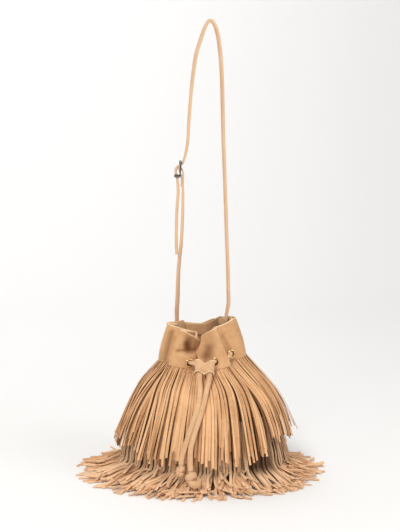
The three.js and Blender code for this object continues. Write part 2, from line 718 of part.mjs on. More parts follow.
// A flat frame with a bar across it, and a keeper loop standing out at its lower end.
function makeBuckle() {
  const { top, bottom, halfWidth, bar, bottomBar, sideBar, halfThickness, pinRadius, corner } = buckle;
  const plateShape = roundedRectangle([-halfWidth, bottom], [halfWidth, top], corner);
  const inside = halfWidth - sideBar;
  plateShape.holes.push(roundedRectangle([-inside, bottom + bottomBar], [inside, top - bar], 1));
  const plate = new THREE.ExtrudeGeometry(plateShape, {
    depth: 2 * halfThickness, bevelEnabled: false, curveSegments: 3,
  });
  plate.translate(0, 0, -halfThickness).rotateX(Math.PI / 2).rotateZ(Math.PI / 2);
  const pin = new THREE.CylinderGeometry(pinRadius, pinRadius, 2 * halfWidth - sideBar, 10);
  const loopShape = roundedRectangle([keeper.outer[0], -keeper.halfWidth], [keeper.outer[1], keeper.halfWidth], 1.6);
  loopShape.holes.push(roundedRectangle([keeper.inner[0], -keeper.halfInner], [keeper.inner[1], keeper.halfInner], 0.8));
  const loop = new THREE.ExtrudeGeometry(loopShape, {
    depth: keeper.height, bevelEnabled: false, curveSegments: 2,
  });
  loop.translate(0, 0, bottom);
  return joinAll([plate, pin, loop]);
}

function makeProng() {
  const { eyeInner, eyeOuter, halfWidth, offset, radius, tip } = prong;
  const eyeShape = new THREE.Shape().absarc(0, 0, eyeOuter, 0, 2 * Math.PI, false);
  eyeShape.holes.push(new THREE.Path().absarc(0, 0, eyeInner, 0, 2 * Math.PI, true));
  const eye = new THREE.ExtrudeGeometry(eyeShape, {
    depth: 2 * halfWidth, bevelEnabled: false, curveSegments: 12,
  });
  eye.translate(0, 0, -halfWidth).rotateX(Math.PI / 2);
  const length = tip - 1;
  const pin = new THREE.CylinderGeometry(radius, radius, length, 8).rotateX(Math.PI / 2);
  pin.translate(offset, 0, 1 + length / 2);
  return joinAll([eye, pin]);
}

// ---------------------------------------------------------------- the finished bag
const suede = (color) => new THREE.MeshStandardMaterial({ color, roughness: 0.95, metalness: 0 });
const metal = (color) => new THREE.MeshStandardMaterial({ color, roughness: 0.3, metalness: 1 });
const bandSuede = suede(0xd3a073);
const fringeSuede = suede(0xcf9c70);
const strapSuede = suede(0xe4bb8e);
const sliderSuede = suede(0xe3b98c);
const liningSuede = suede(0xba8a62);
const brass = metal(0xd8a84a);
const nickel = metal(0x8f8a80);

const bag = new THREE.Group();
const add = (name, geometry, material, parent = bag) => {
  const mesh = new THREE.Mesh(geometry, material.clone());
  mesh.name = name;
  parent.add(mesh);
};

add('base_panel', makeBase(), bandSuede);
add('pouch_wall', makeWall(), bandSuede);
add('mouth_band', makeBand(), bandSuede);
add('mouth_facing', makeFacing(), liningSuede);
add('upper_fringe', makeUpperFringe(), fringeSuede);
add('lower_fringe', ringBody([...lowerFringeOuter, ...lowerFringeInner]), fringeSuede);
add('fringe_ends', ringBody([...fringeEndsOuter, ...fringeEndsInner]), fringeSuede);
eyeletPlaces.forEach((place, index) => {
  const number = String(index + 1).padStart(2, '0');
  add(`eyelet_${number}`, makeEyelet(place), brass);
  add(`eyelet_washer_${number}`, makeWasher(place), brass);
});
add('drawcord', tubeAlong(cordPoints(), cordRadius, cordSides, 2), sliderSuede);
add('cord_knot_left', makeKnot(leftKnot), sliderSuede);
add('cord_knot_right', makeKnot(rightKnot), sliderSuede);
add('cord_slider', makeSlider(), sliderSuede);
add('strap_long', makeLongStrap(), strapSuede);
add('strap_short', makeShortStrap(), strapSuede);
add('strap_tab_left', makeTab(strapLap.left, tabRise.left, tabDepth.left), liningSuede);
add('strap_tab_right', makeTab(strapLap.right, tabRise.right, tabDepth.right), liningSuede);

const buckleGroup = new THREE.Group();
buckleGroup.position.copy(buckle.middle);
buckleGroup.rotation.y = buckle.tilt;
bag.add(buckleGroup);
add('buckle_frame', makeBuckle(), nickel, buckleGroup);
add('buckle_prong', makeProng(), nickel, buckleGroup);

export default bag;
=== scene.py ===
import math

import bmesh
import bpy
import numpy as np
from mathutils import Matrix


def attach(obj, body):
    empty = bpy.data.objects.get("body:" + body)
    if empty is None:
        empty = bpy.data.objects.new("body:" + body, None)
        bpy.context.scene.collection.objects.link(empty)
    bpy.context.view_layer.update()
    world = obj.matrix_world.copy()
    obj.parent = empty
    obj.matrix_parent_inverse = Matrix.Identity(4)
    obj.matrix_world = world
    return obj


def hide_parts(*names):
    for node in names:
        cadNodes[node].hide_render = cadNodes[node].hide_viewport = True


# A fringed suede drawstring bag. Sizes are in millimetres until a mesh is made, then metres.
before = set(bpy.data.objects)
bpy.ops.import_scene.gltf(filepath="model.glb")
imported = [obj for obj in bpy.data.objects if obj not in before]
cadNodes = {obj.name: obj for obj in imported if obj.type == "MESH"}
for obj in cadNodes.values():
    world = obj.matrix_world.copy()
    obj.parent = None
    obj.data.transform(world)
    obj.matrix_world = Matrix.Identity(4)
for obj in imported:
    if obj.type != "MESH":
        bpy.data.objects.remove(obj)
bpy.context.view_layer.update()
scene = bpy.context.scene
mm = 0.001


def addObject(name, data):
    made = bpy.data.objects.new(name, data)
    scene.collection.objects.link(made)
    return made


# the camera stands in front, a little above the bag's mouth
cameraSettings = {"place": (0, -2.0, 0.62), "pitchDown": 6.58, "lens": 73.15, "sensor": 36}
cameraData = bpy.data.cameras.new("camera")
cameraData.lens = cameraSettings["lens"]
cameraData.sensor_width = cameraSettings["sensor"]
cameraObject = addObject("camera", cameraData)
cameraObject.location = cameraSettings["place"]
cameraObject.rotation_euler = (math.radians(90 - cameraSettings["pitchDown"]), 0, 0)
scene.camera = cameraObject


def unit(vectors):
    vectors = np.asarray(vectors, float)
    return vectors / np.maximum(np.linalg.norm(vectors, axis=-1, keepdims=True), 1e-9)


def mix(a, b, share):
    return a + (b - a) * share


def ease(share):
    return share * share * (3 - 2 * share)


def squareTo(vectors, along):
    # what of each vector is square to its run, as a unit vector
    return unit(vectors - along * (vectors * along).sum(axis=-1, keepdims=True))


def evenTurns(count):
    return np.arange(count) * 2 * np.pi / count


def polar(middle, radius, angle, height):
    # angles run from the front towards the right
    x = middle[0] + radius * np.sin(angle)
    y = middle[1] - radius * np.cos(angle)
    return np.stack([x, y, height + 0 * x], axis=-1)


def ovalRadius(angle, halfWidth, halfDepth, share=1):
    return share / np.hypot(np.sin(angle) / halfWidth, np.cos(angle) / halfDepth)


def smoothCurve(points, perSpan):
    # centripetal Catmull-Rom through points or through whole rings of points
    p = np.asarray(points, float)
    p = np.concatenate([[2 * p[0] - p[1]], p, [2 * p[-1] - p[-2]]])
    a, b, c, d = p[:-3], p[1:-2], p[2:-1], p[3:]
    gaps = [np.sqrt(np.linalg.norm(y - x, axis=-1, keepdims=True)) for x, y in ((a, b), (b, c), (c, d))]
    before, here, after = [np.maximum(gap, 1e-4) for gap in gaps]
    start = ((b - a) / before - (c - a) / (before + here) + (c - b) / here) * here
    end = ((c - b) / here - (d - b) / (here + after) + (d - c) / after) * here
    steps = []
    for k in range(perSpan):
        s = k / perSpan
        bend = (3 * (c - b) - 2 * start - end) * s**2 + (2 * (b - c) + start + end) * s**3
        steps.append(b + start * s + bend)
    line = np.stack(steps, axis=1).reshape((-1,) + p.shape[1:])
    return np.concatenate([line, p[-2:-1]])


def distances(line):
    # how far along a line each of its points is
    return np.concatenate([[0], np.cumsum(np.linalg.norm(np.diff(line, axis=0), axis=1))])


def evenly(line, count):
    along = distances(line)
    at = np.linspace(0, along[-1], count)
    return np.stack([np.interp(at, along, line[:, axis]) for axis in range(3)], axis=1)


def carriedFrames(line, firstNormal):
    # a normal carried along a line without twisting, and the side square to both
    along = unit(np.gradient(line, axis=0))
    normals = np.empty_like(along)
    normal = np.asarray(firstNormal, float)
    for i, direction in enumerate(along):
        normal = unit(normal - direction * normal.dot(direction))
        normals[i] = normal
    return normals, np.cross(along, normals)


def loft(rings, closedOnItself=False):
    # joins rings of points into one closed body; open lofts get a low dome at each end
    rings = np.asarray(rings, float)
    ringCount, count = rings.shape[:2]
    i = np.arange(count)
    j = (i + 1) % count
    spans = ringCount if closedOnItself else ringCount - 1
    faces = []
    for ring in range(spans):
        here, after = ring * count, (ring + 1) % ringCount * count
        faces += np.stack([here + i, here + j, after + j, after + i], axis=1).tolist()
    points = rings.reshape(-1, 3)
    if not closedOnItself:
        for ring, flip in ((0, True), (ringCount - 1, False)):
            centre = len(points)
            points = np.vstack([points, rings[ring].mean(axis=0)])
            a, b = ring * count + i, ring * count + j
            faces += [[centre, q, p] if flip else [centre, p, q] for p, q in zip(a.tolist(), b.tolist())]
    return outwards(points, faces)


def outwards(points, faces):
    volume = 0.0
    for size in (3, 4):
        group = np.array([face for face in faces if len(face) == size], int)
        if len(group):
            corner = points[group]
            for k in range(1, size - 1):
                volume += float((corner[:, 0] * np.cross(corner[:, k], corner[:, k + 1])).sum())
    return points, [face[::-1] for face in faces] if volume < 0 else faces


def makeObject(name, points, faces, edges=()):
    mesh = bpy.data.meshes.new(name)
    mesh.from_pydata((np.asarray(points) * mm).tolist(), edges, faces)
    mesh.update()
    return addObject(name, mesh)


def writeAttribute(piece, name, values, kind="FLOAT"):
    # a number or a direction for each vertex, which a material or a tree reads by name
    field = "vector" if kind == "FLOAT_VECTOR" else "value"
    attribute = piece.data.attributes.new(name, kind, "POINT")
    attribute.data.foreach_set(field, np.asarray(values, np.float32).ravel())


def vertexPlaces(piece):
    return np.array([v.co for v in piece.data.vertices]) / mm


def finishPiece(piece, material, nodes=(), body="bag", sharpAbove=None):
    mesh = piece.data
    mesh.polygons.foreach_set("use_smooth", [True] * len(mesh.polygons))
    if sharpAbove:
        mesh.set_sharp_from_angle(angle=math.radians(sharpAbove))
    mesh.materials.clear()
    mesh.materials.append(material)
    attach(piece, body)
    if nodes:
        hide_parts(*nodes)
    return piece


# materials
def newMaterial(name):
    material = bpy.data.materials.new(name)
    material.use_nodes = True
    tree = material.node_tree
    return material, tree, tree.nodes["Principled BSDF"]


def addNode(tree, kind, inputs=(), **settings):
    # an input is a plain value, a socket, or a node, which gives its first output
    node = tree.nodes.new(kind)
    for key, value in settings.items():
        setattr(node, key, value)
    for socket, value in dict(inputs).items():
        if isinstance(value, bpy.types.Node):
            value = value.outputs[0]
        if isinstance(value, bpy.types.NodeSocket):
            tree.links.new(value, node.inputs[socket])
        else:
            node.inputs[socket].default_value = value
    return node


def noise(tree, place, scale, detail=3.0, roughness=0.55):
    inputs = {"Vector": place, "Scale": scale, "Detail": detail, "Roughness": roughness}
    return addNode(tree, "ShaderNodeTexNoise", inputs).outputs["Fac"]


def calculate(tree, operation, a, b):
    return addNode(tree, "ShaderNodeMath", {0: a, 1: b}, operation=operation).outputs[0]


def addShare(tree, value, layer, share):
    return calculate(tree, "ADD", value, calculate(tree, "MULTIPLY", layer, share))


def colourRamp(tree, value, stops):
    ramp = addNode(tree, "ShaderNodeValToRGB", {"Fac": value})
    elements = ramp.color_ramp.elements
    if len(stops) == 3:
        elements.new(0.5)
    for element, (position, colour) in zip(elements, stops):
        element.position = position
        element.color = (*colour, 1)
    return ramp.outputs["Color"]


def finishShader(tree, shader, colour, height, settings):
    tree.links.new(colour, shader.inputs["Base Color"])
    bump = addNode(tree, "ShaderNodeBump", {
        "Strength": settings["bump"], "Distance": settings["bumpDepth"], "Height": height})
    tree.links.new(bump.outputs["Normal"], shader.inputs["Normal"])
    for socket, value in settings["shader"].items():
        shader.inputs[socket].default_value = value


# what the suedes share, unless one of them says otherwise
suedeSettings = {
    "broadScale": 22.0, "mottleScale": 150.0, "fibreScale": 1500.0, "stops": (0.3, 0.5, 0.72),
    "broadShare": 0.5, "mottleShare": 0.32, "fibreShare": 0.18, "fibreHeight": 0.6,
    "bump": 0.5, "bumpDepth": 0.0006, "sheen": 0.2,
    "shader": {"Roughness": 0.95, "Specular IOR Level": 0.15, "Sheen Roughness": 0.5,
               "Sheen Tint": (1.0, 0.84, 0.68, 1)},
}
metalSettings = {"wearScale": 260.0, "stops": (0.35, 0.65), "bump": 0.15, "bumpDepth": 0.0001,
                 "shader": {"Metallic": 1.0}}


def suede(name, **own):
    # the suede's brushed surface: broad strokes, mottling and fine fibres, with a soft sheen
    settings = {**suedeSettings, **own}
    material, tree, shader = newMaterial(name)
    place = addNode(tree, "ShaderNodeTexCoord").outputs["Object"]
    broad = noise(tree, place, settings["broadScale"], 2.0)
    mottle = noise(tree, place, settings["mottleScale"], 5.0, 0.6)
    fibres = noise(tree, place, settings["fibreScale"], 3.0, 0.65)
    value = calculate(tree, "MULTIPLY", broad, settings["broadShare"])
    value = addShare(tree, value, mottle, settings["mottleShare"])
    value = addShare(tree, value, fibres, settings["fibreShare"])
    # each strip's own tone, with painted shade on deeper layers, from a strip attribute
    if "tinted" in settings:
        tint = addNode(tree, "ShaderNodeAttribute", attribute_name="tint").outputs["Fac"]
        value = addShare(tree, value, calculate(tree, "SUBTRACT", tint, 0.5), settings["tinted"])
    colours = [settings[shade] for shade in ("dark", "base", "light")]
    colour = colourRamp(tree, value, list(zip(settings["stops"], colours)))
    # painted shade and the lighter raw cut edge, each blended in where a piece's attribute says
    for attribute in ("nap", "edge"):
        if attribute + "Colour" in settings:
            amount = addNode(tree, "ShaderNodeAttribute", attribute_name=attribute).outputs["Fac"]
            inputs = {"Factor": amount, "A": colour, "B": (*settings[attribute + "Colour"], 1)}
            blend = addNode(tree, "ShaderNodeMix", inputs, data_type="RGBA")
            colour = blend.outputs["Result"]
    height = addShare(tree, calculate(tree, "MULTIPLY", fibres, settings["fibreHeight"]), mottle, 1.0)
    finishShader(tree, shader, colour, height, settings)
    shader.inputs["Sheen Weight"].default_value = settings["sheen"]
    return material


def metal(name, dark, light, rough):
    material, tree, shader = newMaterial(name)
    place = addNode(tree, "ShaderNodeTexCoord").outputs["Object"]
    wear = noise(tree, place, metalSettings["wearScale"], 4.0)
    polish = addNode(tree, "ShaderNodeMapRange", {"Value": wear, "To Min": rough[0], "To Max": rough[1]})
    tree.links.new(polish.outputs["Result"], shader.inputs["Roughness"])
    colour = colourRamp(tree, wear, list(zip(metalSettings["stops"], (dark, light))))
    finishShader(tree, shader, colour, wear, metalSettings)
    return material


# each material's shade colour below is painted shade, blended in where a piece asks for it
bodySuede = suede(
    "bodySuede", dark=(0.5, 0.255, 0.108), base=(0.655, 0.37, 0.182), light=(0.79, 0.485, 0.262),
    edgeColour=(0.92, 0.68, 0.42), napColour=(0.12, 0.034, 0.006), broadScale=16.0, mottleScale=110.0)
facingSuede = suede(
    "facingSuede", dark=(0.62, 0.33, 0.155), base=(0.8, 0.465, 0.24), light=(0.92, 0.58, 0.33),
    edgeColour=(0.92, 0.68, 0.42), napColour=(0.16, 0.055, 0.016), broadScale=18.0, mottleScale=130.0)
fringeSuede = suede(
    "fringeSuede", dark=(0.45, 0.218, 0.09), base=(0.66, 0.36, 0.172), light=(0.82, 0.488, 0.258),
    napColour=(0.1, 0.034, 0.01), tinted=0.42, bump=0.4)
# fringe suede painted lighter as painted light, where the lower strips lie on the pile facing up
litPileSuede = suede(
    "litPileSuede", dark=(0.48, 0.255, 0.12), base=(0.73, 0.435, 0.235), light=(0.89, 0.585, 0.355),
    napColour=(0.07, 0.024, 0.008), tinted=0.42, bump=0.4)
# painted shade: the pouch wall, seen only in the gaps between strips, is near black
shadowWallSuede = suede(
    "shadowWallSuede", dark=(0.1, 0.045, 0.02), base=(0.16, 0.075, 0.035), light=(0.24, 0.12, 0.06),
    broadScale=18.0, mottleScale=130.0, sheen=0.0)
cordSuede = suede(
    "cordSuede", dark=(0.53, 0.295, 0.145), base=(0.69, 0.42, 0.23), light=(0.81, 0.535, 0.32),
    edgeColour=(0.93, 0.7, 0.45), broadScale=25.0, mottleScale=160.0, fibreScale=1600.0, sheen=0.3)
strapSuede = suede(
    "strapSuede", dark=(0.54, 0.32, 0.19), base=(0.66, 0.42, 0.27), light=(0.76, 0.53, 0.37),
    edgeColour=(0.72, 0.48, 0.27), broadScale=20.0, mottleScale=160.0, fibreScale=1600.0, bump=0.4, sheen=0.3)
threadMaterial = suede(
    "waxedThread", dark=(0.42, 0.22, 0.1), base=(0.55, 0.32, 0.16), light=(0.66, 0.42, 0.24),
    broadScale=40.0, mottleScale=600.0, fibreScale=3000.0, bump=0.3, sheen=0.1)
eyeletBrass = metal("eyeletBrass", dark=(0.66, 0.42, 0.13), light=(0.95, 0.74, 0.4), rough=(0.1, 0.26))
buckleNickel = metal("buckleNickel", dark=(0.07, 0.065, 0.055), light=(0.34, 0.32, 0.29), rough=(0.05, 0.16))
print("materials made")

# the gathered mouth: a ridge and a valley in turn, at the fringe seam and at the rim
mouth = {
    "seamMiddle": (4, -7), "rimMiddle": (0, -7), "seamMean": 213.5, "leastStep": 0.02,
    "rightRise": 6.5, "backRise": 9.5, "sideRise": 6, "corner": {"angle": -48, "rise": 7, "narrowness": 1.9},
    # seam angle and radius, rim angle, radius and height; angles from the front towards the right
    "folds": [(-129, 79, -121, 73, 278), (-106, 61, -99, 49, 281), (-86, 82, -80, 61, 284),
              (-58.5, 59, -19, 25, 271), (-52, 79, -37, 61, 279), (-4, 47, 12, 28, 252),
              (-12, 57, 4, 36, 266), (43, 77, 28, 61, 282), (49, 58, 36, 53, 284), (80, 83, 86, 66, 296),
              (117, 60, 112, 50, 293), (148, 78, 150, 60, 284), (180, 58, 180, 50, 275)],
    # eyelets: the flank each is on, its share along the flank and its height
    "eyelets": [(0, 0.5, 236), (1, 0.5, 230), (2, 0.78, 223), (3, 0.5, 225), (4, 0.56, 218), (6, 0.6, 222),
                (7, 0.5, 226), (8, 0.33, 231), (9, 0.5, 236), (10, 0.5, 240), (11, 0.5, 241), (12, 0.5, 240)],
}
foldTable = np.array(mouth["folds"], float)
foldCount = len(foldTable)


def seamHeight(angle):
    turn = np.radians(angle)
    corner = mouth["corner"]
    off = corner["narrowness"] * (np.asarray(angle) - corner["angle"])
    lifted = np.where(np.abs(off) < 90, corner["rise"] * np.cos(np.radians(off)) ** 2, 0)
    return (mouth["seamMean"] + lifted + mouth["rightRise"] * np.sin(turn) - mouth["backRise"] * np.cos(turn)
            + mouth["sideRise"] * np.sin(turn) ** 2)


def mouthMiddle(lift):
    return mix(np.array(mouth["seamMiddle"], float), np.array(mouth["rimMiddle"], float), lift)


def bandPlace(fold, share, lift):
    fold = np.asarray(fold, int) % foldCount
    here, after = foldTable[fold], foldTable[(fold + 1) % foldCount]
    turn = np.where(here[..., 0] - after[..., 0] > 180, 360, 0)
    seamAngle = mix(here[..., 0], after[..., 0] + turn, share)
    rimAngle = mix(here[..., 2], after[..., 2] + turn, share)
    eased = ease(share)
    seamRadius = mix(here[..., 1], after[..., 1], eased)
    rimRadius = mix(here[..., 3], after[..., 3], eased)
    radius = mix(seamRadius, rimRadius, np.abs(lift) ** 1.5)
    angle = np.radians(mix(seamAngle, rimAngle, lift))
    height = mix(seamHeight(seamAngle), mix(here[..., 4], after[..., 4], eased), lift)
    return polar(mouthMiddle(lift), radius, angle, height)


def bandNormal(fold, share, lift, step=0.04):
    across = bandPlace(fold, share + step, lift) - bandPlace(fold, share - step, lift)
    up = bandPlace(fold, share, lift + step) - bandPlace(fold, share, lift - step)
    return unit(np.cross(across, up))


bandThickness = 2.0
eyeletMiddles, eyeletAxes = [], []
for fold, share, height in mouth["eyelets"]:
    low, high = bandPlace(fold, share, 0.0)[2], bandPlace(fold, share, 1.0)[2]
    lift = (height - low) / (high - low)
    eyeletAxes.append(bandNormal(fold, share, lift))
    eyeletMiddles.append(bandPlace(fold, share, lift) - eyeletAxes[-1] * bandThickness / 2)

# the drawcord: from the left knot through the slider, round the mouth and back out
cordSettings = {
    "halfWidth": 4.7, "halfThickness": 3.6, "sides": 14, "length": 0.84, "reach": 5.5, "ride": 1.7,
    "uneven": 0.035, "unevenTurns": (95, 37), "pinch": 0.22, "pinchReach": 8, "longGap": 18,
    "lean": {7: (-3.2, 0.5, 0.6)},  # where a bend pulls the cord to one side of its eyelet
    "leftTail": [(-33.4, -150.4, 55.1), (-31, -149.3, 70), (-23, -142.4, 96), (-14.2, -133, 121.3),
                 (-3.5, -117.5, 150), (0.2, -105, 175), (-0.8, -98, 192)],
    "leftTurn": [(-1.4, -89.5, 213), (-4.5, -84, 219.5), (-11, -77.5, 221.5)],
    "rightTurn": [(21.6, -78, 222.4), (20, -83.5, 219.5), (18.2, -89.5, 213)],
    "rightTail": [(16, -97.5, 194), (11.2, -106.5, 175), (5.2, -118, 150), (-4.6, -133, 121.6),
                  (-11.8, -141.5, 101), (-16.7, -149, 80.8), (-17.2, -156.5, 57), (-16.6, -159.6, 45.6)],
    "order": [4, 3, 2, 1, 0, 11, 10, 9, 8, 7, 6, 5],
}


def cordRoute(settings):
    def through(index, side):
        place = eyeletMiddles[index] + eyeletAxes[index] * settings["reach"] * side + [0, 0, settings["ride"]]
        return place + np.array(settings["lean"].get(index, (0, 0, 0))) * (1 if side >= 0 else 0)

    points = settings["leftTail"] + settings["leftTurn"]
    order = settings["order"]
    for position, index in enumerate(order):
        inwards = 1 if position % 2 == 0 else -1
        points += [through(index, inwards), through(index, 0), through(index, -inwards)]
        if position < len(order) - 1:
            ahead = through(order[position + 1], -inwards)
            if np.linalg.norm(ahead - points[-1]) > settings["longGap"]:
                points.append((points[-1] + ahead) / 2)
    return smoothCurve(points + settings["rightTurn"] + settings["rightTail"], 8)


def roundedSection(halfWidth, halfThickness, count, power=2.6):
    turn = evenTurns(count)
    c, s = np.cos(turn), np.sin(turn)
    return np.stack([halfWidth * np.sign(c) * np.abs(c) ** (2 / power),
                     halfThickness * np.sign(s) * np.abs(s) ** (2 / power)], axis=1)


def sweep(line, normals, sides, section):
    # section x goes along the sides, y along the normals
    return line[:, None] + sides[:, None] * section[..., 0:1] + normals[:, None] * section[..., 1:2]


cordLine = cordRoute(cordSettings)
cordNormals, cordSides = carriedFrames(cordLine, (0, -1, 0.2))
section = roundedSection(cordSettings["halfWidth"], cordSettings["halfThickness"], cordSettings["sides"])
quick, slow = [np.sin(np.linspace(0, turns, len(cordLine))) for turns in cordSettings["unevenTurns"]]
fromEyelet = np.linalg.norm(cordLine[:, None] - np.array(eyeletMiddles)[None], axis=2).min(axis=1)
pinched = 1 - cordSettings["pinch"] * np.exp(-((fromEyelet / cordSettings["pinchReach"]) ** 2))
plump = (1 + cordSettings["uneven"] * quick * slow) * pinched
sections = section[None] * plump[:, None, None]
cordPiece = makeObject("drawcord_soft", *loft(sweep(cordLine, cordNormals, cordSides, sections)))
finishPiece(cordPiece, cordSuede, ["drawcord"], sharpAbove=60)
print("drawcord", round(distances(cordLine)[-1]), "mm")

# knots: each tail wrapped twice round itself and drawn tight
knotSettings = {
    "left": {"middle": (-34, -150, 44.3), "top": (-33.4, -150.4, 55.1), "turn": 215, "size": 1.0,
             "lean": (-1.2, 0, 0), "end": (-4.0, -2.0, -9.5),
             "wraps": ((4.6, 3.2, 10, 0), (4.8, -3.6, -16, 150))},
    "right": {"middle": (-15.3, -160, 32.8), "top": (-16.6, -159.6, 45.6), "turn": 250, "size": 1.32,
              "lean": (5.0, -0.5, 0), "end": (3.5, -3.0, -8.5),
              "wraps": ((4.3, 3.4, 24, 20), (5.2, -3.6, -28, 190))},
}


def makeKnot(name, settings, node):
    # local z runs up the tail; a wrap is its radius, height, tilt and starting angle
    size = settings["size"]
    points = [[0.0, 0.0, 10.5], [0.3, 0.2, 7.5]]
    for radius, height, tilt, start in settings["wraps"]:
        for degrees in range(0, 331, 30):
            a = math.radians(start + degrees)
            lean = math.tan(math.radians(tilt)) * radius * math.cos(a)
            points.append([radius * math.cos(a), radius * math.sin(a), height + lean - degrees / 150])
    points += [[0.5, 0.5, -6.5], settings["end"]]
    local = evenly(smoothCurve(points, 6), 190) * size
    middle, top = np.array(settings["middle"], float), np.array(settings["top"], float)
    aim = unit(top - middle)
    turn = math.radians(settings["turn"])
    first = unit(np.cross(aim, [math.sin(turn), math.cos(turn), 0.0]))
    second = np.cross(aim, first)
    line = middle + local @ np.stack([first, second, aim])
    line += np.array(settings["lean"]) * np.clip(0.2 - local[:, 2:3] / 8, 0, 1)
    line[0] = top
    line = evenly(smoothCurve(line[::3], 3), 180)
    away = line - middle
    away = unit(away - (away @ aim)[:, None] * aim * 0.7)
    along = unit(np.gradient(line, axis=0))
    normals = away - along * (away * along).sum(axis=1, keepdims=True)
    for _ in range(10):
        normals[1:-1] = unit(normals[:-2] + 2 * normals[1:-1] + normals[2:])
    normals = squareTo(normals, along)
    flat = roundedSection(cordSettings["halfWidth"] * 1.02 * size, cordSettings["halfThickness"] * size, 16)
    thin = mix(1 / size, 1.0, np.clip(np.arange(len(line)) / 14, 0, 1))[:, None, None]
    knot = makeObject(name, *loft(sweep(line, normals, np.cross(along, normals), flat[None] * thin)))
    return finishPiece(knot, cordSuede, [node], sharpAbove=60)


knots = [makeKnot("knot_left_soft", knotSettings["left"], "cord_knot_left"),
         makeKnot("knot_right_soft", knotSettings["right"], "cord_knot_right")]
print("knots tied")

# floor, backdrop and light
stageSettings = {
    "white": (0.93, 0.925, 0.915), "worldStrength": 0.48,
    "front": -5.0, "back": 1.9, "bend": 1.3, "top": 5.5, "halfWidth": 7,
    # place, target, size, power and colour
    "lamps": {"keyLight": ((-0.75, -2.1, 2.3), (0, 0, 0.25), 0.8, 48, (1, 0.985, 0.96)),
              "fillLight": ((2.0, -1.4, 1.5), (0, 0, 0.25), 1.4, 18, (0.98, 0.99, 1)),
              "backLight": ((-1.0, 1.3, 2.7), (-1.5, 3.0, 0.6), 2.0, 30, (1, 1, 1))},
}


def makeStage(settings):
    material, _, shader = newMaterial("paperSweep")
    shader.inputs["Base Color"].default_value = (*settings["white"], 1)
    shader.inputs["Roughness"].default_value = 0.9
    back, bend = settings["back"], settings["bend"]
    profile = [(settings["front"], 0.0), (back, 0.0)]
    curve = np.linspace(0.1, math.pi / 2, 14)
    profile += [(back + bend * math.sin(a), bend - bend * math.cos(a)) for a in curve]
    profile += [(back + bend, settings["top"])]
    points = [(x * settings["halfWidth"], y, z) for y, z in profile for x in (-1, 1)]
    faces = [[2 * i, 2 * i + 1, 2 * i + 3, 2 * i + 2] for i in range(len(profile) - 1)]
    paper = bpy.data.meshes.new("paperSweep")
    paper.from_pydata(points, [], faces)
    paper.polygons.foreach_set("use_smooth", [True] * len(paper.polygons))
    paper.materials.append(material)
    addObject("paperSweep", paper)


def areaLight(name, place, target, size, power, colour):
    data = bpy.data.lights.new(name, "AREA")
    data.energy, data.size, data.color = power, size, colour
    lamp = addObject(name, data)
    lamp.location = place
    x, y, z = np.array(target) - np.array(place)
    lamp.rotation_euler = (math.pi / 2 + math.atan2(z, math.hypot(x, y)), 0, math.atan2(y, x) - math.pi / 2)


makeStage(stageSettings)
for lampName, lampValues in stageSettings["lamps"].items():
    areaLight(lampName, *lampValues)
world = bpy.data.worlds.new("softWorld")
world.use_nodes = True
background = world.node_tree.nodes["Background"]
background.inputs["Color"].default_value = (1, 1, 1, 1)
background.inputs["Strength"].default_value = stageSettings["worldStrength"]
scene.world = world
scene.view_settings.view_transform = "Standard"
print("stage set")

# band: the gathered top of the bag, with a raw cut rim
bandSettings = {
    "perFold": 20, "levels": 40, "thickness": bandThickness, "wrinkle": 0.9, "seed": 5,
    "holeRadius": 6.5, "holeSides": 20, "holeDepth": 5, "edgeWidth": 1.5,
    "flat": (0.52, 0.068), "facingFlat": (0.42, 0.033), "wallFlat": (0.86, 0.235),
    # dents: flank, start and end (x, z), half width and depth; below zero it bulges
    "dents": [(4, (-20, 268), (-22, 246), 6.0, 6.0), (4, (-42, 241), (-8, 240), 3.2, 3.4),
              (4, (-40, 231), (-12, 230), 5.0, -2.0), (6, (16, 246), (12, 226), 9.0, 4.2),
              (6, (1, 252), (-3, 236), 4.5, -2.4), (8, (52, 240), (58, 228), 5.0, 1.5)],
    # the front fold's edge bows: middle (x, z), half width, half height and shift
    "slides": [(-3, 239, 14, 10, -7.0), (-6, 219, 10, 7, 4.0)], "slideFlanks": (5, 6),
    # painted shade, darkest in creases and dents and beside fold edges: start and end (x, z), half width and
    # strength
    "nap": [((-20, 262), (-22, 247), 6.0, 0.6), ((-24, 253), (-21, 243), 8.0, 0.95),
            ((-13, 262), (-9, 246), 9.0, 0.5), ((-42, 241), (-22, 242), 3.0, 0.5),
            ((16, 244), (13, 235), 9.5, 0.68), ((10, 230), (8, 214), 5.5, 0.42),
            ((-51, 272), (-65, 218), 4.0, 0.55), ((-57, 270), (-72, 218), 3.5, 0.25),
            ((42, 266), (61, 228), 3.4, 0.3), ((-6, 256), (-14, 238), 3.4, 0.45),
            ((-34, 284), (-30, 268), 5.0, 0.16), ((20, 268), (26, 258), 8.0, 0.16),
            ((-86, 268), (-88, 235), 6.0, 0.14), ((66, 284), (84, 240), 5.0, 0.12),
            ((-30, 222), (-16, 219), 4.0, 0.1), ((36, 262), (50, 232), 8.0, 0.1)],
    "paintedShadeFront": -15,
}


def foldColumns(perFold):
    fold = np.repeat(np.arange(foldCount), perFold)
    share = np.tile(np.arange(perFold) / perFold, foldCount)
    return fold, share


def gridNormals(grid):
    across = np.roll(grid, -1, axis=1) - np.roll(grid, 1, axis=1)
    up = np.gradient(grid, axis=0)
    return unit(np.cross(across, up))


def softNoise(u, v, seed, waves=14, fastest=9):
    # smooth random field, closed round u from 0 to 1
    rng = np.random.default_rng(seed)
    total = np.zeros(np.broadcast(u, v).shape)
    for _ in range(waves):
        k, m = rng.integers(1, fastest), rng.uniform(0.3, 2.2)
        total += rng.uniform(0.4, 1) * np.sin(2 * np.pi * (k * u + m * v + rng.random())) / math.sqrt(k)
    return total / math.sqrt(waves)


def fromStroke(places, start, end):
    # how far each place is from a straight stroke, seen from the front
    start, run = np.array(start, float), np.array(end, float) - start
    offset = places[..., [0, 2]] - start
    share = np.clip((offset @ run) / (run @ run), 0, 1)
    return np.linalg.norm(offset - share[..., None] * run, axis=-1)


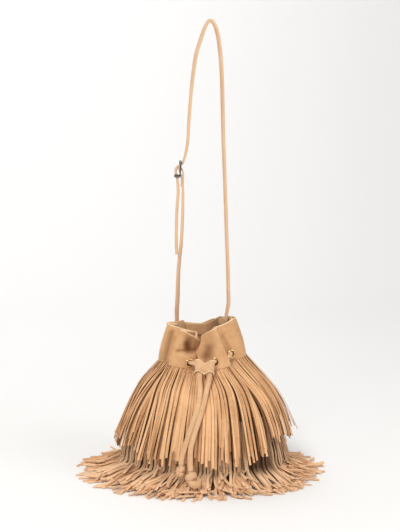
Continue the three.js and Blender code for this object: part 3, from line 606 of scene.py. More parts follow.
bandFold, bandShare = foldColumns(bandSettings["perFold"])
bandLifts = np.linspace(0, 1, bandSettings["levels"])
bandGrid = np.stack([bandPlace(bandFold, bandShare, lift) for lift in bandLifts])
bandU = np.linspace(0, 1, len(bandFold), endpoint=False)
for x, z, wide, tall, shift in bandSettings["slides"]:
    near = np.exp(-(((bandGrid[..., 0] - x) / wide) ** 2) - ((bandGrid[..., 2] - z) / tall) ** 2)
    first, whole = bandSettings["slideFlanks"]
    part = np.where(bandFold == first, ease(bandShare), np.where(bandFold == whole, 1, 0))
    bandGrid[..., 0] += shift * near * part
wrinkles = softNoise(bandU[None], bandLifts[:, None], bandSettings["seed"], 22, 34) * bandSettings["wrinkle"]
wrinkles *= np.sin(np.pi * np.clip(bandLifts, 0.03, 0.9))[:, None] * 0.8 + 0.2
bandNormals = gridNormals(bandGrid)
dents = np.zeros(bandGrid.shape[:2])
for flank, start, end, across, depth in bandSettings["dents"]:
    near = np.exp(-((fromStroke(bandGrid, start, end) / across) ** 2))
    dents += np.where(bandFold == flank, depth * near, 0)
dents *= np.clip(bandShare * (1 - bandShare) * 14, 0, 1)[None]
bandOuter = bandGrid + bandNormals * (wrinkles - dents)[..., None]
bandInner = bandOuter - bandNormals * bandSettings["thickness"]
rimMiddleRow = (bandOuter[-1] + bandInner[-1]) / 2 + [0, 0, 0.5]
rows = np.concatenate([bandOuter, rimMiddleRow[None], bandInner[::-1]])
bandRaw = makeObject("bandRaw", *loft(rows, closedOnItself=True))


def ringPoints(middle, axis, radius, count, offset):
    side = unit(np.cross(axis, [0.2, 0.1, 1.0]))
    other = np.cross(axis, side)
    turn = evenTurns(count)
    return middle + axis * offset + radius * (np.cos(turn)[:, None] * side + np.sin(turn)[:, None] * other)


cutterPoints, cutterFaces = [], []
for middle, axis in zip(eyeletMiddles, eyeletAxes):
    rings = [ringPoints(middle, axis, bandSettings["holeRadius"], bandSettings["holeSides"], offset)
             for offset in (-bandSettings["holeDepth"], bandSettings["holeDepth"])]
    points, faces = loft(rings)
    cutterFaces += [[corner + len(cutterPoints) for corner in face] for face in faces]
    cutterPoints += points.tolist()
cutter = makeObject("holeCutter", cutterPoints, cutterFaces)
cut = bandRaw.modifiers.new("holes", "BOOLEAN")
cut.object, cut.operation, cut.solver = cutter, "DIFFERENCE", "EXACT"


def bake(source, name):
    # the evaluated object as a plain mesh of its own
    bpy.context.view_layer.update()
    graph = bpy.context.evaluated_depsgraph_get()
    mesh = bpy.data.meshes.new_from_object(source.evaluated_get(graph))
    mesh.name = name
    made = addObject(name, mesh)
    bpy.data.objects.remove(source)
    return made


bandPiece = bake(bandRaw, "mouth_band_soft")
bpy.data.objects.remove(cutter)


def markEdge(piece, row, near):
    # where a raw cut edge shows the lighter middle of the hide
    away = np.array([np.sqrt(((row - place) ** 2).sum(axis=1).min()) for place in vertexPlaces(piece)])
    writeAttribute(piece, "edge", np.clip((near - away) / 0.8 + 0.5, 0, 1))


# painted shade from the strokes, on the front of the band only
def paintCreaseShade(piece, strokes):
    places = vertexPlaces(piece)
    shade = np.zeros(len(places))
    for start, end, across, strength in strokes:
        near = np.exp(-((fromStroke(places, start, end) / across) ** 2))
        shade = 1 - (1 - shade) * (1 - strength * near)
    writeAttribute(piece, "nap", np.where(places[:, 1] < bandSettings["paintedShadeFront"], shade, 0))


markEdge(bandPiece, rimMiddleRow, bandSettings["edgeWidth"])
paintCreaseShade(bandPiece, bandSettings["nap"])
finishPiece(bandPiece, bodySuede, ["mouth_band"], sharpAbove=50)
print("band", len(bandPiece.data.polygons), "faces")


# facing inside the rim
def smoothRound(grid, times):
    for _ in range(times):
        grid = (np.roll(grid, 1, axis=1) + 2 * grid + np.roll(grid, -1, axis=1)) / 4
    return grid


facingSettings = {"gap": 1.0, "thickness": 1.6, "sides": 160, "outside": 8, "inside": 9, "rows": 8,
                  "lifts": (0.56, 0.985), "edgeWidth": 1.4, "nap": {"from": 8, "over": 26, "most": 0.5}}


def insideRing(lift, depth, spread, count):
    # keeps inside every layer of the folds: the band's least radius nearby, less a depth
    middle = mouthMiddle(lift)
    fold, share = foldColumns(24)
    band = bandPlace(fold, share, lift)
    flat = band[:, :2] - middle
    around, reach = np.arctan2(flat[:, 0], -flat[:, 1]), np.linalg.norm(flat, axis=1)
    angle = evenTurns(count)
    near = np.cos(around[None] - angle[:, None]) > math.cos(math.radians(spread))
    least = np.where(near, reach[None], 1e9).argmin(axis=1)
    return polar(middle, reach[least] - depth, angle, band[least, 2])


def makeFacing(settings):
    outer = bandThickness + settings["gap"]
    lifts, rows = np.linspace(*settings["lifts"], settings["rows"]), []
    for layer, depth, spread in ((lifts, outer, settings["outside"]),
                                 (lifts[::-1], outer + settings["thickness"], settings["inside"])):
        rows += [insideRing(lift, depth, spread, settings["sides"]) for lift in layer]
    rows = [smoothRound(row[None], 3)[0] for row in rows]
    piece = makeObject("mouth_facing_soft", *loft(np.stack(rows), closedOnItself=True))
    markEdge(piece, (rows[settings["rows"] - 1] + rows[settings["rows"]]) / 2, settings["edgeWidth"])
    # painted shade, darker towards the right
    nap = settings["nap"]
    across = (vertexPlaces(piece)[:, 0] - nap["from"]) / nap["over"]
    writeAttribute(piece, "nap", nap["most"] * ease(np.clip(across, 0, 1)))
    return finishPiece(piece, facingSuede, ["mouth_facing"], sharpAbove=50)


facingPiece = makeFacing(facingSettings)

# pouch wall and base
bodySettings = {
    # height, reach to the left, right, front and back, and how much of the folds is left
    "wall": [(172, 88, 105, 85, 77, 0.5), (130, 113, 130, 102, 95, 0.15), (70, 137, 146, 117, 112, 0),
             (3.3, 138, 140, 114, 112, 0)],
    "wallThickness": 2.2, "foot": (0, 138, 140, 114, 112, 0), "foldReach": 140,
    # the base panel's rounded edge: how far out and how high
    "baseEdge": ((-0.8, 0.0), (-0.2, 0.6), (0, 1.5), (-0.2, 2.4), (-0.8, 3.0)),
}


def orderedSeam():
    # the seam as the pouch and the fringe follow it: always onwards, without the band's overlap
    ring = bandPlace(bandFold, bandShare, 0.0)
    flat = ring[:, :2] - mouth["seamMiddle"]
    radius, angle = np.linalg.norm(flat, axis=1), np.arctan2(flat[:, 0], -flat[:, 1])
    least = mouth["leastStep"] * 5 / bandSettings["perFold"]
    for i in range(1, len(angle)):
        here = angle[i] + (2 * np.pi if angle[i] < angle[i - 1] - np.pi else 0)
        angle[i] = max(here, angle[i - 1] + least)
    return polar(mouth["seamMiddle"], radius, angle, ring[:, 2])


seamRing = orderedSeam()


def levelPlace(level, angle, inset=0.0, reach=0.0):
    # a place on a level's oval, drawn towards the folds' own reach as the level says
    height, left, right, front, back, fold = level
    radius = mix(ovalRadius(angle, (left + right) / 2, (front + back) / 2), reach, fold) - inset
    return polar(((right - left) / 2, (back - front) / 2), radius, angle, float(height))


def bodyRing(level):
    dx, dy = seamRing[:, 0] - mouth["seamMiddle"][0], seamRing[:, 1] - mouth["seamMiddle"][1]
    pleated = np.hypot(dx, dy) * (sum(level[1:3]) / 2 + sum(level[3:5]) / 2) / bodySettings["foldReach"]
    return levelPlace(level, np.arctan2(dx, -dy), 0.0, pleated)


def offsetFlat(ring, distance):
    along = np.roll(ring, -1, axis=0) - np.roll(ring, 1, axis=0)
    outward = unit(np.stack([along[:, 1], -along[:, 0], 0 * along[:, 0]], axis=1))
    return ring + outward * distance


wallTop = offsetFlat(seamRing - [0, 0, 0.3], -0.5)
wallOuter = smoothCurve([wallTop] + [bodyRing(level) for level in bodySettings["wall"]], 6)
wallInner = wallOuter + gridNormals(wallOuter) * bodySettings["wallThickness"]
wallInner[-1, :, 2] = wallOuter[-1, :, 2]
wallLoft = loft(np.concatenate([wallOuter, wallInner[::-1]]), closedOnItself=True)
wallPiece = makeObject("pouch_wall_soft", *wallLoft)
finishPiece(wallPiece, shadowWallSuede, ["pouch_wall"], sharpAbove=50)
footRing = bodyRing(bodySettings["foot"])
baseRings = [offsetFlat(footRing, inset) + [0, 0, z] for inset, z in bodySettings["baseEdge"]]
basePiece = makeObject("base_panel_soft", *loft(baseRings))
finishPiece(basePiece, bodySuede, ["base_panel"], sharpAbove=40)
print("pouch made")


# a strip for every cut of the fringe, made from its centreline
def newTree(name, inputs):
    tree = bpy.data.node_groups.new(name, "GeometryNodeTree")
    sockets = [("Geometry", "INPUT", "Geometry"), *((label, "INPUT", kind) for label, kind in inputs.items()),
               ("Material", "INPUT", "Material"), ("Geometry", "OUTPUT", "Geometry")]
    for label, side, kind in sockets:
        tree.interface.new_socket(label, in_out=side, socket_type="NodeSocket" + kind)
    return tree, addNode(tree, "NodeGroupInput").outputs


def endTree(tree, shape, given):
    realized = addNode(tree, "GeometryNodeRealizeInstances", {"Geometry": shape})
    painted = addNode(tree, "GeometryNodeSetMaterial", {"Geometry": realized, "Material": given["Material"]})
    addNode(tree, "NodeGroupOutput", {"Geometry": painted})
    return tree


def readAttribute(tree, name, kind):
    return addNode(tree, "GeometryNodeInputNamedAttribute", {"Name": name}, data_type=kind)


def stripTree():
    tree, given = newTree("stripsAlongLines", {
        "Strip Width": "Float", "Strip Thickness": "Float", "Cupping": "Float"})
    lines = addNode(tree, "GeometryNodeMeshToCurve", {"Mesh": given["Geometry"]})
    turned = addNode(tree, "GeometryNodeSetCurveNormal", {
        "Curve": lines, "Normal": readAttribute(tree, "faceNormal", "FLOAT_VECTOR")}, mode="FREE")
    box = addNode(tree, "GeometryNodeCurvePrimitiveQuadrilateral", {
        "Width": given["Strip Thickness"], "Height": given["Strip Width"]})
    finer = addNode(tree, "GeometryNodeSubdivideCurve", {"Curve": box, "Cuts": 1})
    place = addNode(tree, "ShaderNodeSeparateXYZ", {0: addNode(tree, "GeometryNodeInputPosition")})
    share = calculate(tree, "DIVIDE", place.outputs["Y"], given["Strip Width"])
    bow = calculate(tree, "MULTIPLY", calculate(tree, "MULTIPLY", share, share), given["Cupping"])
    shift = addNode(tree, "ShaderNodeCombineXYZ", {"X": bow})
    cupped = addNode(tree, "GeometryNodeSetPosition", {"Geometry": finer, "Offset": shift})
    solid = addNode(tree, "GeometryNodeCurveToMesh", {
        "Curve": turned, "Profile Curve": cupped, "Fill Caps": True,
        "Scale": readAttribute(tree, "breadth", "FLOAT")})
    return endTree(tree, solid, given)


def runTree(source, tree, name, inputs):
    modifier = source.modifiers.new("shape", "NODES")
    modifier.node_group = tree
    for item in tree.interface.items_tree:
        if item.name in inputs and item.in_out == "INPUT":
            modifier[item.identifier] = inputs[item.name]
    return bake(source, name)


stripsAlongLines = stripTree()


def makeStrips(name, strips, settings, material):
    # lines and normals are strips x points x 3; shades darken what lies deep between others
    lines, normals, tonesAndShades, breadths, shades = strips
    count, steps = lines.shape[:2]
    start = (np.arange(count) * steps)[:, None] + np.arange(steps - 1)[None]
    edges = np.stack([start.ravel(), start.ravel() + 1], axis=1)
    source = makeObject(name + "Lines", lines.reshape(-1, 3), [], edges.tolist())
    writeAttribute(source, "faceNormal", normals, "FLOAT_VECTOR")
    each = np.ones((count, steps))
    writeAttribute(source, "tint", tonesAndShades[:, None] * each)
    writeAttribute(source, "breadth", breadths * each)
    writeAttribute(source, "nap", shades * each)
    return runTree(source, stripsAlongLines, name, {
        "Strip Width": settings["width"] * mm, "Strip Thickness": settings["thickness"] * mm,
        "Cupping": settings["cupping"] * mm, "Material": material})


fringeSettings = {
    "width": 4.9, "thickness": 1.2, "cupping": 0.4,
    # each tier's strips side by side before they were cut and gathered, in metres
    "upperFlat": (1.5, 0.18), "lowerFlat": (2.5, 0.2),
    "upperRings": [(176, 107, 126, 101, 94, 0.5), (150, 124, 147, 115, 107, 0.18),
                   (110, 143, 165, 130, 121, 0), (57, 162, 180, 145, 132, 0), (36, 167, 185, 149, 136, 0)],
    # two layers; the flanks are shorter and looser, and some strips are short, stray or turned
    "upper": {"counts": (200, 168), "depths": (0.8, 3.8), "steps": 20, "seed": 21,
              "lengths": (168, 187), "flankShorter": 9, "short": (140, 168), "shortShare": 0.14,
              "spread": 6 / 900,  # sideways, as a share of the way round
              "stray": (3, 9), "strayShare": 0.05, "turn": 1.3, "turnShares": (0.04, 0.08),
              "breadths": (0.76, 0.98), "seamBreadth": 0.47},
    "hanging": [(118, 126, 142.5, 113.5, 105, 0), (57, 144, 162, 126, 115, 0), (30, 150, 168, 129, 119, 0)],
    "lower": {"counts": (130, 130, 130, 120), "outline": (237, 191), "feet": 0.63, "ends": (0.75, 1.0),
              "steps": 22, "seed": 22, "layerGap": 4.5, "least": 0.9, "turn": 1.5, "turnShare": 0.1,
              "breadths": (0.88, 1.12),
              # angles where the strips are sparse, so the pile shows a hollow
              "hollow": (0.66, 1.02),
              # height of the pile over the ground, by share of the outline
              "slope": ((0.63, 38), (0.72, 27), (0.8, 18), (0.9, 10), (1.0, 4))},
}


def sampleSurface(surface, normals, column, along):
    # bilinear reading of a ring surface; along is the distance from the top
    rows, count = surface.shape[:2]
    spans = np.linalg.norm(np.diff(surface, axis=0), axis=2)
    reach = np.concatenate([np.zeros((1, count)), np.cumsum(spans, axis=0)])
    c = np.mod(column, 1) * count
    left = np.floor(c).astype(int) % count
    right = (left + 1) % count
    part = (c - np.floor(c))[..., None]
    row = np.empty(np.shape(along))
    for i in range(column.shape[0]):
        row[i] = np.interp(along[i], reach[:, left[i, 0]], np.arange(rows))
    low = np.minimum(np.floor(row).astype(int), rows - 2)
    down = (row - low)[..., None]

    def read(table):
        top = mix(table[low, left], table[low, right], part)
        bottom = mix(table[low + 1, left], table[low + 1, right], part)
        return mix(top, bottom, down)

    return read(surface), unit(read(normals))


def evenColumns(ring, count, rng, jitter):
    # places evenly spaced along a ring, as shares of its columns
    along = distances(np.vstack([ring, ring[:1]]))
    at = (np.arange(count) + rng.uniform(-jitter, jitter, count)) / count * along[-1]
    return np.interp(np.mod(at, along[-1]), along, np.arange(len(along)) / len(ring))


def turnedNormals(lines, normals, twist):
    # which way each strip faces, turned about its own run
    along = unit(np.gradient(lines, axis=1))
    face = squareTo(normals, along)
    side = np.cross(along, face)
    return face * np.cos(twist)[..., None] + side * np.sin(twist)[..., None]


def turnedOver(rng, share, angle, size):
    # a share of the strips twists one way or the other
    return (rng.random(size) < share) * rng.choice([-angle, angle], size)


def upperFringe(settings):
    upper = settings["upper"]
    rng = np.random.default_rng(upper["seed"])
    seam = seamRing - [0, 0, 0.3]
    body = [bodyRing(level) for level in settings["upperRings"]]
    rings = [offsetFlat(seam, 0.8), offsetFlat(mix(seam, body[0], 0.33), 1.2)] + body
    surface = smoothCurve(rings, 8)
    normals = smoothRound(-gridNormals(surface), 6)
    spread = upper["spread"]
    s = np.linspace(0, 1, upper["steps"])[None]
    layers = []
    for layer, (wanted, depth) in enumerate(zip(upper["counts"], upper["depths"])):
        column = evenColumns(mix(rings[0], rings[3], 0.5), wanted, rng, 0.18)[:, None]
        size = (wanted, 1)
        length = rng.uniform(*upper["lengths"], size)
        start = sampleSurface(surface, normals, column, 60 + 0 * column)[0][:, 0]
        flank = np.abs(unit((start - body[0].mean(axis=0)) * [1, 1, 0])[:, :1]) ** 1.5
        length = length - upper["flankShorter"] * flank
        length = np.where(rng.random(size) < upper["shortShare"], rng.uniform(*upper["short"], size), length)
        # strips gather in clumps and swing a little on their way down
        clump = softNoise(column, 0 * s, 40 + layer, 30, 76) * spread * (0.12 + 0.7 * flank)
        drift = clump * s**1.2 + rng.normal(0, 0.5, size) * (0.42 + 1.9 * flank) * spread * s
        bow = rng.normal(0, 0.1, size) * spread * np.sin(np.pi * s)
        place, normal = sampleSurface(surface, normals, np.mod(column + drift + bow, 1), s * length)
        lift = rng.uniform(-1, 1, size) * (0.9 + flank) - depth * (0.2 + 0.8 * np.clip(s * 6, 0, 1))
        lift = lift + rng.normal(0, 1.3, size) * (0.6 + flank) * s**1.5
        stray = (rng.random(size) < upper["strayShare"]) * rng.uniform(*upper["stray"], size)
        line = place + normal * (lift + stray * s**3)[..., None]
        twist = rng.normal(0, 0.12, size) + rng.normal(0, 0.32, size) * (0.5 + flank) * s**1.5
        fewest, more = upper["turnShares"]
        turned = turnedOver(rng, fewest + more * flank, upper["turn"], size)
        twist = twist + turned * ease(np.clip(s * 1.6 - 0.1, 0, 1))
        # random tone, and the inner layer darker as painted shade
        tint = 0.75 + rng.uniform(-0.4, 0.4, wanted) * (0.5 + flank[:, 0]) - 0.55 * layer
        # painted shade on the inner layer, more at the flanks
        shade = layer * (0.22 + 0.5 * flank) * np.clip(s * 8, 0, 1)
        narrow = mix(upper["seamBreadth"], 1.0, ease(np.clip(s * 2.2, 0, 1))) * (1 - 0.16 * flank)
        breadth = rng.uniform(*upper["breadths"], size) * narrow
        layers.append((line, turnedNormals(line, normal, twist), tint, breadth, shade))
    return [np.concatenate(group) for group in zip(*layers)]


def lowerFringe(settings):
    # each strip hangs from under the upper fringe, bends and lies straight out over the pile
    lower = settings["lower"]
    rng = np.random.default_rng(lower["seed"])
    shares, heights = np.array(lower["slope"], float).T
    s = np.linspace(0, 1, lower["steps"])[None]
    layers = []

    def inHollow(angle):
        return (angle > lower["hollow"][0]) & (angle < lower["hollow"][1])

    for layer, wanted in enumerate(lower["counts"]):
        angle = (np.arange(wanted) + rng.uniform(-0.4, 0.4, wanted)) * 2 * np.pi / wanted
        angle = angle[~inHollow(angle) | (rng.random(wanted) < 0.5)]
        count, hollow, around = len(angle), inHollow(angle), angle / (2 * np.pi)
        drift = softNoise(around, 0.0, 60 + layer, 24, 52) * 0.065
        inset = lower["layerGap"] * layer + rng.uniform(0, 2, count)
        points = [levelPlace(level, angle + drift * share, inset)
                  for level, share in zip(settings["hanging"], (0, 0.6, 1))]
        level = rng.uniform(0.15, 1.0, count) * (1 - 0.12 * layer) * (1 - 0.6 * hollow)
        # the higher a strip lies on the pile, the sooner it ends
        reach = np.clip(mix(1.02, 0.76, level) + rng.normal(0, 0.035, count), *lower["ends"])
        foot = np.maximum(reach - rng.uniform(0.10, 0.17, count), lower["feet"])
        turn = angle + drift + rng.normal(0, 0.03, count)
        sway = softNoise(around, 0.0, 80 + layer, 26, 60) * 0.075 + rng.normal(0, 0.03, count)
        sway = sway + rng.normal(0, 0.13, count) * (rng.random(count) < 0.2)

        def onPile(share, angle):
            radius = ovalRadius(angle, *lower["outline"], share)
            return polar((0, 0), radius, angle, lower["least"] + level * np.interp(share, shares, heights))

        rest, end = onPile(foot + 0.02, turn), onPile(reach, turn + sway)
        end[:, 2] += (rng.random(count) < 0.1) * rng.uniform(2, 10, count)
        knee = mix(onPile(foot, turn), points[-1], 0.28)
        curl = rng.normal(0, 0.6, count) + hollow * rng.normal(0, 15, count)
        run = unit((end - rest) * [1, 1, 0])
        aside = np.stack([-run[:, 1], run[:, 0], 0 * curl], axis=1)
        halfway = mix(rest, end, 0.5) + aside * curl[:, None]
        halfway[:, 2] += hollow * rng.uniform(0, 10, count)
        points += [knee, mix(rest, end, 0.06), halfway, end]
        line = smoothCurve(np.stack(points), 6)
        line = np.stack([evenly(line[:, i], lower["steps"]) for i in range(count)])
        line[..., 2] = np.maximum(line[..., 2], lower["least"])
        # a strip faces outwards where it hangs and upwards where it lies
        hang = levelPlace(settings["hanging"][1], angle) * [1, 1, 0]
        lying = ease(np.clip(1 - (line[..., 2] - 12) / 26, 0, 1))[..., None]
        face = unit(unit(hang)[:, None] * (1 - lying) + np.array([0, 0, 1.0]) * lying)
        twist = rng.normal(0, 0.16, (count, 1)) + rng.normal(0, 0.3, (count, 1)) * s**1.4
        turned = turnedOver(rng, lower["turnShare"], lower["turn"], (count, 1))
        twist = twist + turned * ease(np.clip(s * 1.3, 0, 1))
        # random tone, each deeper layer a little darker as painted shade
        tint = rng.uniform(0.5, 1.3, count) - 0.05 * layer
        breadth = rng.uniform(*lower["breadths"], (count, 1)) * mix(0.8, 1.0, s)
        # painted shade where the strips hang under the upper tier, darkest on inner layers and in the hollow
        deep = np.clip(softNoise(around, 0.0, 90 + layer, 24, 60) + 0.5 * layer, 0.3, 1)[:, None]
        shade = 0.92 * np.maximum(deep, hollow[:, None]) * ease(np.clip((line[..., 2] - 15) / 18, 0, 1))
        layers.append((line, turnedNormals(line, face, twist), tint, breadth, shade))
    return [np.concatenate(group) for group in zip(*layers)]


def aboveGround(piece, lowest):
    mesh = piece.data
    places = np.array([v.co for v in mesh.vertices], np.float32)
    places[:, 2] = np.maximum(places[:, 2], lowest * mm)
    mesh.vertices.foreach_set("co", places.ravel())
    mesh.update()


upperPiece = makeStrips("fringe_upper_soft", upperFringe(fringeSettings), fringeSettings, fringeSuede)
finishPiece(upperPiece, fringeSuede, ["upper_fringe"], sharpAbove=45)
lowerPiece = makeStrips("fringe_lower_soft", lowerFringe(fringeSettings), fringeSettings, litPileSuede)
aboveGround(lowerPiece, 0.15)
finishPiece(lowerPiece, litPileSuede, ["lower_fringe", "fringe_ends"], sharpAbove=45)
for tier in (upperPiece, lowerPiece):
    area = sum(face.area for face in tier.data.polygons) / 2
    print(tier.name, len(tier.data.polygons), "faces,", round(area, 3), "square metres of suede")

# eyelets: twelve rounded brass rings outside and twelve washers inside, all from one tree
eyeletSettings = {"holeRadius": 5.6, "flangeRadius": 8.3, "sides": 36, "beadSides": 12,
                  # how far each ring sits out from the band's middle, and how flat it is
                  "outer": (1.55, 0.75), "inner": (-1.45, 0.6)}


def eyeletTree():
    tree, given = newTree("ringsOnPoints", {
        "Ring Radius": "Float", "Half Width": "Float", "Flatness": "Float", "Sides": "Int"})
    circle = addNode(tree, "GeometryNodeCurvePrimitiveCircle", {
        "Resolution": given["Sides"], "Radius": given["Ring Radius"]})
    bead = addNode(tree, "GeometryNodeCurvePrimitiveCircle", {
        "Resolution": eyeletSettings["beadSides"], "Radius": given["Half Width"]})
    ring = addNode(tree, "GeometryNodeCurveToMesh", {"Curve": circle, "Profile Curve": bead})
    scale = addNode(tree, "ShaderNodeCombineXYZ", {"X": 1.0, "Y": 1.0, "Z": given["Flatness"]})
    flat = addNode(tree, "GeometryNodeTransform", {"Geometry": ring, "Scale": scale})
    turned = addNode(tree, "FunctionNodeAlignRotationToVector", {
        "Vector": readAttribute(tree, "faceNormal", "FLOAT_VECTOR")}, axis="Z")
    copies = addNode(tree, "GeometryNodeInstanceOnPoints", {
        "Points": given["Geometry"], "Instance": flat, "Rotation": turned})
    return endTree(tree, copies, given)


ringsOnPoints = eyeletTree()


def makeRings(name, settings, seat, flatness, nodeStart):
    hole, flange = settings["holeRadius"], settings["flangeRadius"]
    axes = np.array(eyeletAxes)
    source = makeObject(name + "Points", np.array(eyeletMiddles) + axes * seat, [])
    writeAttribute(source, "faceNormal", axes, "FLOAT_VECTOR")
    rings = runTree(source, ringsOnPoints, name, {
        "Ring Radius": (hole + flange) / 2 * mm, "Half Width": (flange - hole) / 2 * mm, "Flatness": flatness,
        "Sides": settings["sides"], "Material": eyeletBrass})
    nodes = [f"{nodeStart}_{number:02d}" for number in range(1, len(axes) + 1)]
    return finishPiece(rings, eyeletBrass, nodes)


makeRings("eyelets_outer", eyeletSettings, *eyeletSettings["outer"], "eyelet")
makeRings("eyelets_inner", eyeletSettings, *eyeletSettings["inner"], "eyelet_washer")
print("eyelets set")

# slider: a band of suede round both tails, sewn down its middle
sliderSettings = {
    "middle": (8.5, -88, 215.5), "down": (-0.075, -0.459, -0.885), "length": 23.5, "lobeAt": 9.9,
    "lobeRadius": 7.7, "waist": 3.0, "waistInside": 0.35, "thickness": 1.7, "flare": 0.05, "stations": 15,
    "edgeWidth": 0.7,
    # how the cut edges wave: shift, distance from the middle and half width
    "topWaves": ((4.2, 0, 6.5), (-1.4, 13, 4)), "bottomWaves": ((1.3, 0, 3), (-2.6, 10.2, 5)),
    "stitches": {"from": -7.5, "to": 11.5, "pitch": 2.7, "length": 1.8, "proud": 0.25,
                 "width": 0.9, "thickness": 0.7, "cupping": 0.0},
}


def peanut(halfSpacing, radius, waist, count=72):
    # outline of two lobes with a waist between them
    turn = evenTurns(count)
    reach = halfSpacing + radius
    x = reach * np.cos(turn)
    beyond = np.clip((np.abs(x) - halfSpacing) / radius, 0, 1)
    lobe = radius * np.sqrt(np.maximum(1 - beyond**2, 0))
    rise = 0.5 - 0.5 * np.cos(np.pi * np.clip(np.abs(x) / halfSpacing, 0, 1))
    inside = waist + (radius - waist) * rise**0.7
    half = np.where(np.abs(x) > halfSpacing, lobe, inside)
    return np.stack([x, half * np.sign(np.sin(turn) + 1e-9)], axis=1)


def makeSlider(settings):
    down = unit(settings["down"])
    across = unit(np.array([1.0, 0, 0]) - down * down[0])
    front = np.cross(across, down)
    middle = np.array(settings["middle"], float)
    stations = np.linspace(-0.5, 0.5, settings["stations"])
    outside = peanut(settings["lobeAt"], settings["lobeRadius"], settings["waist"])
    inside = peanut(settings["lobeAt"] - 0.1, settings["lobeRadius"] - settings["thickness"],
                    settings["waistInside"])
    rows = []
    for outline, order in ((outside, stations), (inside, stations[::-1])):
        reach = np.abs(outline[:, 0])
        for share in order:
            flare = 1 + settings["flare"] * (2 * share) ** 2
            waves = settings["topWaves" if share < 0 else "bottomWaves"]
            shift = sum(height * np.exp(-(((reach - at) / wide) ** 2)) for height, at, wide in waves)
            z = share * settings["length"] + shift * (2 * abs(share)) ** 3
            flat = outline[:, :1] * flare * across
            rows.append(middle + flat + outline[:, 1:] * flare * front + z[:, None] * down)
    piece = makeObject("slider_soft", *loft(rows, closedOnItself=True))
    last = settings["stations"]
    markEdge(piece, np.concatenate([rows[0], rows[last - 1], rows[last], rows[-1]]), settings["edgeWidth"])
    finishPiece(piece, cordSuede, ["cord_slider"], body="slider", sharpAbove=55)
    sewn = settings["stitches"]
    lines = np.array([[middle + front * (settings["waist"] + sewn["proud"]) + down * (z + part)
                       for part in (0, sewn["length"] / 2, sewn["length"])]
                      for z in np.arange(sewn["from"], sewn["to"], sewn["pitch"])])
    count = len(lines)
    strips = lines, np.broadcast_to(front, lines.shape), np.full(count, 0.5), np.ones((count, 1)), 0.0
    stitches = makeStrips("slider_stitches", strips, sewn, threadMaterial)
    finishPiece(stitches, threadMaterial, body="slider")


makeSlider(sliderSettings)

# strap: long run, short run and the tabs that hold them
strapSettings = {
    "halfWidth": 4.2, "groove": 0.35, "sides": 28, "facingSides": 80,
    # where each run lies inside the facing: flank and share, then what shifts it at the rim
    "laps": {"long": ((9, 0.4), (3.6, -1.2, 0)), "short": ((12, 0.8), (0, 0, 0))},
    "lapLifts": (0.6, 0.8, 1), "lapDepth": 3.5, "lapHalf": 1.5,
    # x, y, z, half thickness and the direction of the width, in degrees
    "long": [(53, -3.2, 318, 2.8, 30), (52.8, -3, 345, 2.8, 24), (51.6, -1, 390, 2.8, 20),
             (49.8, 0, 434, 2.8, 20), (47.8, 0, 492, 2.8, 20), (45.8, 0, 547, 2.8, 20),
             (42.6, 0, 633, 2.8, 25), (41, 0, 700, 2.8, 30), (39.4, 0, 745, 2.8, 30),
             (36.6, 0, 782, 2.8, 30), (31.5, 0, 815, 2.8, 30), (25.5, 0, 832, 2.6, 30),
             (18.5, 0, 838.4, 2.6, 30), (10.5, 0, 829, 2.6, 30), (2.5, 0, 808, 2.8, 30),
             (-6.5, 0, 780, 2.8, 30), (-12.2, 0, 745, 2.8, 25), (-16.2, 0, 710, 2.8, 15),
             (-20.2, 0, 660, 2.8, 10), (-22.8, 0, 619, 2.8, 0), (-26, 0, 600, 2.6, 0),
             (-29.4, 0, 587, 2, 0), (-32, 0, 580, 2, 0), (-36.4, 0, 576.3, 2, 0),
             (-41.5, 0, 573.2, 2.4, 0), (-44.4, 0, 568.3, 2.7, 0), (-44.9, 0, 563, 2, 0),
             (-43.2, 0, 559, 2, 0), (-42.5, 0, 554.5, 2, 0), (-41.6, 0, 547, 2.4, 0),
             (-40.4, 0, 528, 2.8, 0), (-42.8, 0, 492, 2.8, 0), (-44, 0, 434, 2.8, 0),
             (-43.2, 0, 411, 2.6, 0)],
    "short": [(-44, 30, 303, 2.8, -70), (-42.4, 25, 326, 2.8, -50), (-40, 12, 385, 2.8, -25),
              (-34.8, 3, 434, 2.8, -8), (-32, 0, 492, 2.8, 0), (-31.6, 0, 524, 2.6, 0),
              (-31.6, 0, 537, 2, 0), (-31, 0, 553, 1.7, 0), (-31.1, 0, 562, 1.5, 0),
              (-33.2, 0, 569, 1.2, 0), (-34.05, 0, 571, 1.2, 0), (-36, 0, 571.8, 1.2, 0),
              (-37.95, 0, 571, 1.2, 0), (-38.8, 0, 569, 1.2, 0), (-37, 0, 563, 1.2, 0),
              (-34.4, 0, 556.8, 1.2, 0), (-34, 0, 550, 1.2, 0), (-35.1, 0, 537, 1.2, 0)],
}


def facingPlace(fold, share, lift):
    sides = strapSettings["facingSides"]
    depth = bandThickness + facingSettings["gap"] + facingSettings["thickness"]
    ring = insideRing(lift, depth, facingSettings["inside"], sides)
    band, middle = bandPlace(fold, share, lift), mouthMiddle(lift)
    at = (math.atan2(band[0] - middle[0], middle[1] - band[1]) / (2 * math.pi)) % 1 * sides
    step = int(at)
    place = mix(ring[step], ring[(step + 1) % sides], at - step)
    before, after = ring[(step - 2) % sides], ring[(step + 3) % sides]
    return place, unit(np.array([after[1] - before[1], before[0] - after[0], 0]))


def strapStations(run):
    (fold, share), shift = strapSettings["laps"][run]
    stations = []
    for lift in strapSettings["lapLifts"]:
        place, outward = facingPlace(fold, share, lift)
        across = np.array([-outward[1], outward[0], 0])
        place = place - outward * strapSettings["lapDepth"]
        stations.append([place, strapSettings["lapHalf"], across if across[1] > 0 else -across])
    stations[-1][0] = stations[-1][0] + np.array(shift)
    for x, y, z, half, turn in strapSettings[run]:
        angle = math.radians(turn)
        stations.append([np.array([x, y, z], float), half, np.array([-math.sin(angle), math.cos(angle), 0])])
    return stations


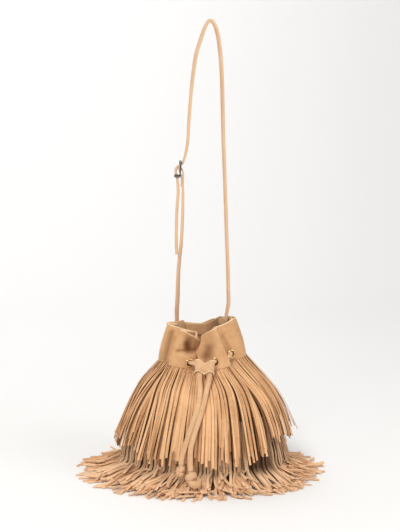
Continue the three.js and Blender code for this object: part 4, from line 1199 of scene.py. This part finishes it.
def makeStrap(name, run, node, steps=6):
    places, halves, widths = [np.array(column) for column in zip(*strapStations(run))]
    line = smoothCurve(places, steps)
    at = np.linspace(0, len(places) - 1, len(line))
    low = np.minimum(np.floor(at).astype(int), len(places) - 2)
    part = (at - low)[:, None]
    half = mix(halves[low], halves[low + 1], part[:, 0])
    along = unit(np.gradient(line, axis=0))
    across = squareTo(mix(widths[low], widths[low + 1], part), along)
    outward = np.cross(along, across)
    # two layers with rounded edges and the seam between them as a groove
    turn = evenTurns(strapSettings["sides"])
    c, s = np.cos(turn), np.sin(turn)
    y = np.sign(s) * np.abs(s) ** 0.6
    groove = strapSettings["groove"] * np.exp(-((y / 0.22) ** 2))
    x = strapSettings["halfWidth"] * np.sign(c) * np.abs(c) ** 0.55 - np.sign(c) * groove
    thick = (y[None] * half[:, None])[..., None]
    rings = line[:, None] + across[:, None] * x[None, :, None] + outward[:, None] * thick
    strap = makeObject(name, *loft(rings))
    narrow = np.clip((np.abs(c) - 0.9) / 0.08, 0, 1) * 0.8
    writeAttribute(strap, "edge", np.concatenate([np.tile(narrow, len(line)), [0.5, 0.5]]))
    finishPiece(strap, strapSuede, [node], sharpAbove=60)
    print(name, round(distances(line)[-1]), "mm")


makeStrap("strap_long_soft", "long", "strap_long")
makeStrap("strap_short_soft", "short", "strap_short")


def refine(node, name, material, bevel, body="bag"):
    # a copy of a CAD piece with rounded edges
    mesh = cadNodes[node].data.copy()
    mesh.name = name
    work = bmesh.new()
    work.from_mesh(mesh)
    bmesh.ops.remove_doubles(work, verts=work.verts, dist=1e-6)
    bmesh.ops.dissolve_limit(work, angle_limit=math.radians(4), verts=work.verts, edges=work.edges)
    work.to_mesh(mesh)
    work.free()
    made = addObject(name, mesh)
    rounding = made.modifiers.new("rounding", "BEVEL")
    rounding.width, rounding.segments, rounding.limit_method = bevel * mm, 2, "ANGLE"
    rounding.angle_limit = math.radians(28)
    return finishPiece(bake(made, name), material, [node], body=body, sharpAbove=50)


for side in ("left", "right"):
    refine(f"strap_tab_{side}", f"tab_{side}_soft", cordSuede, 0.5)
refine("buckle_frame", "buckle_frame_fine", buckleNickel, 0.35)
refine("buckle_prong", "buckle_prong_fine", buckleNickel, 0.2, body="prong")
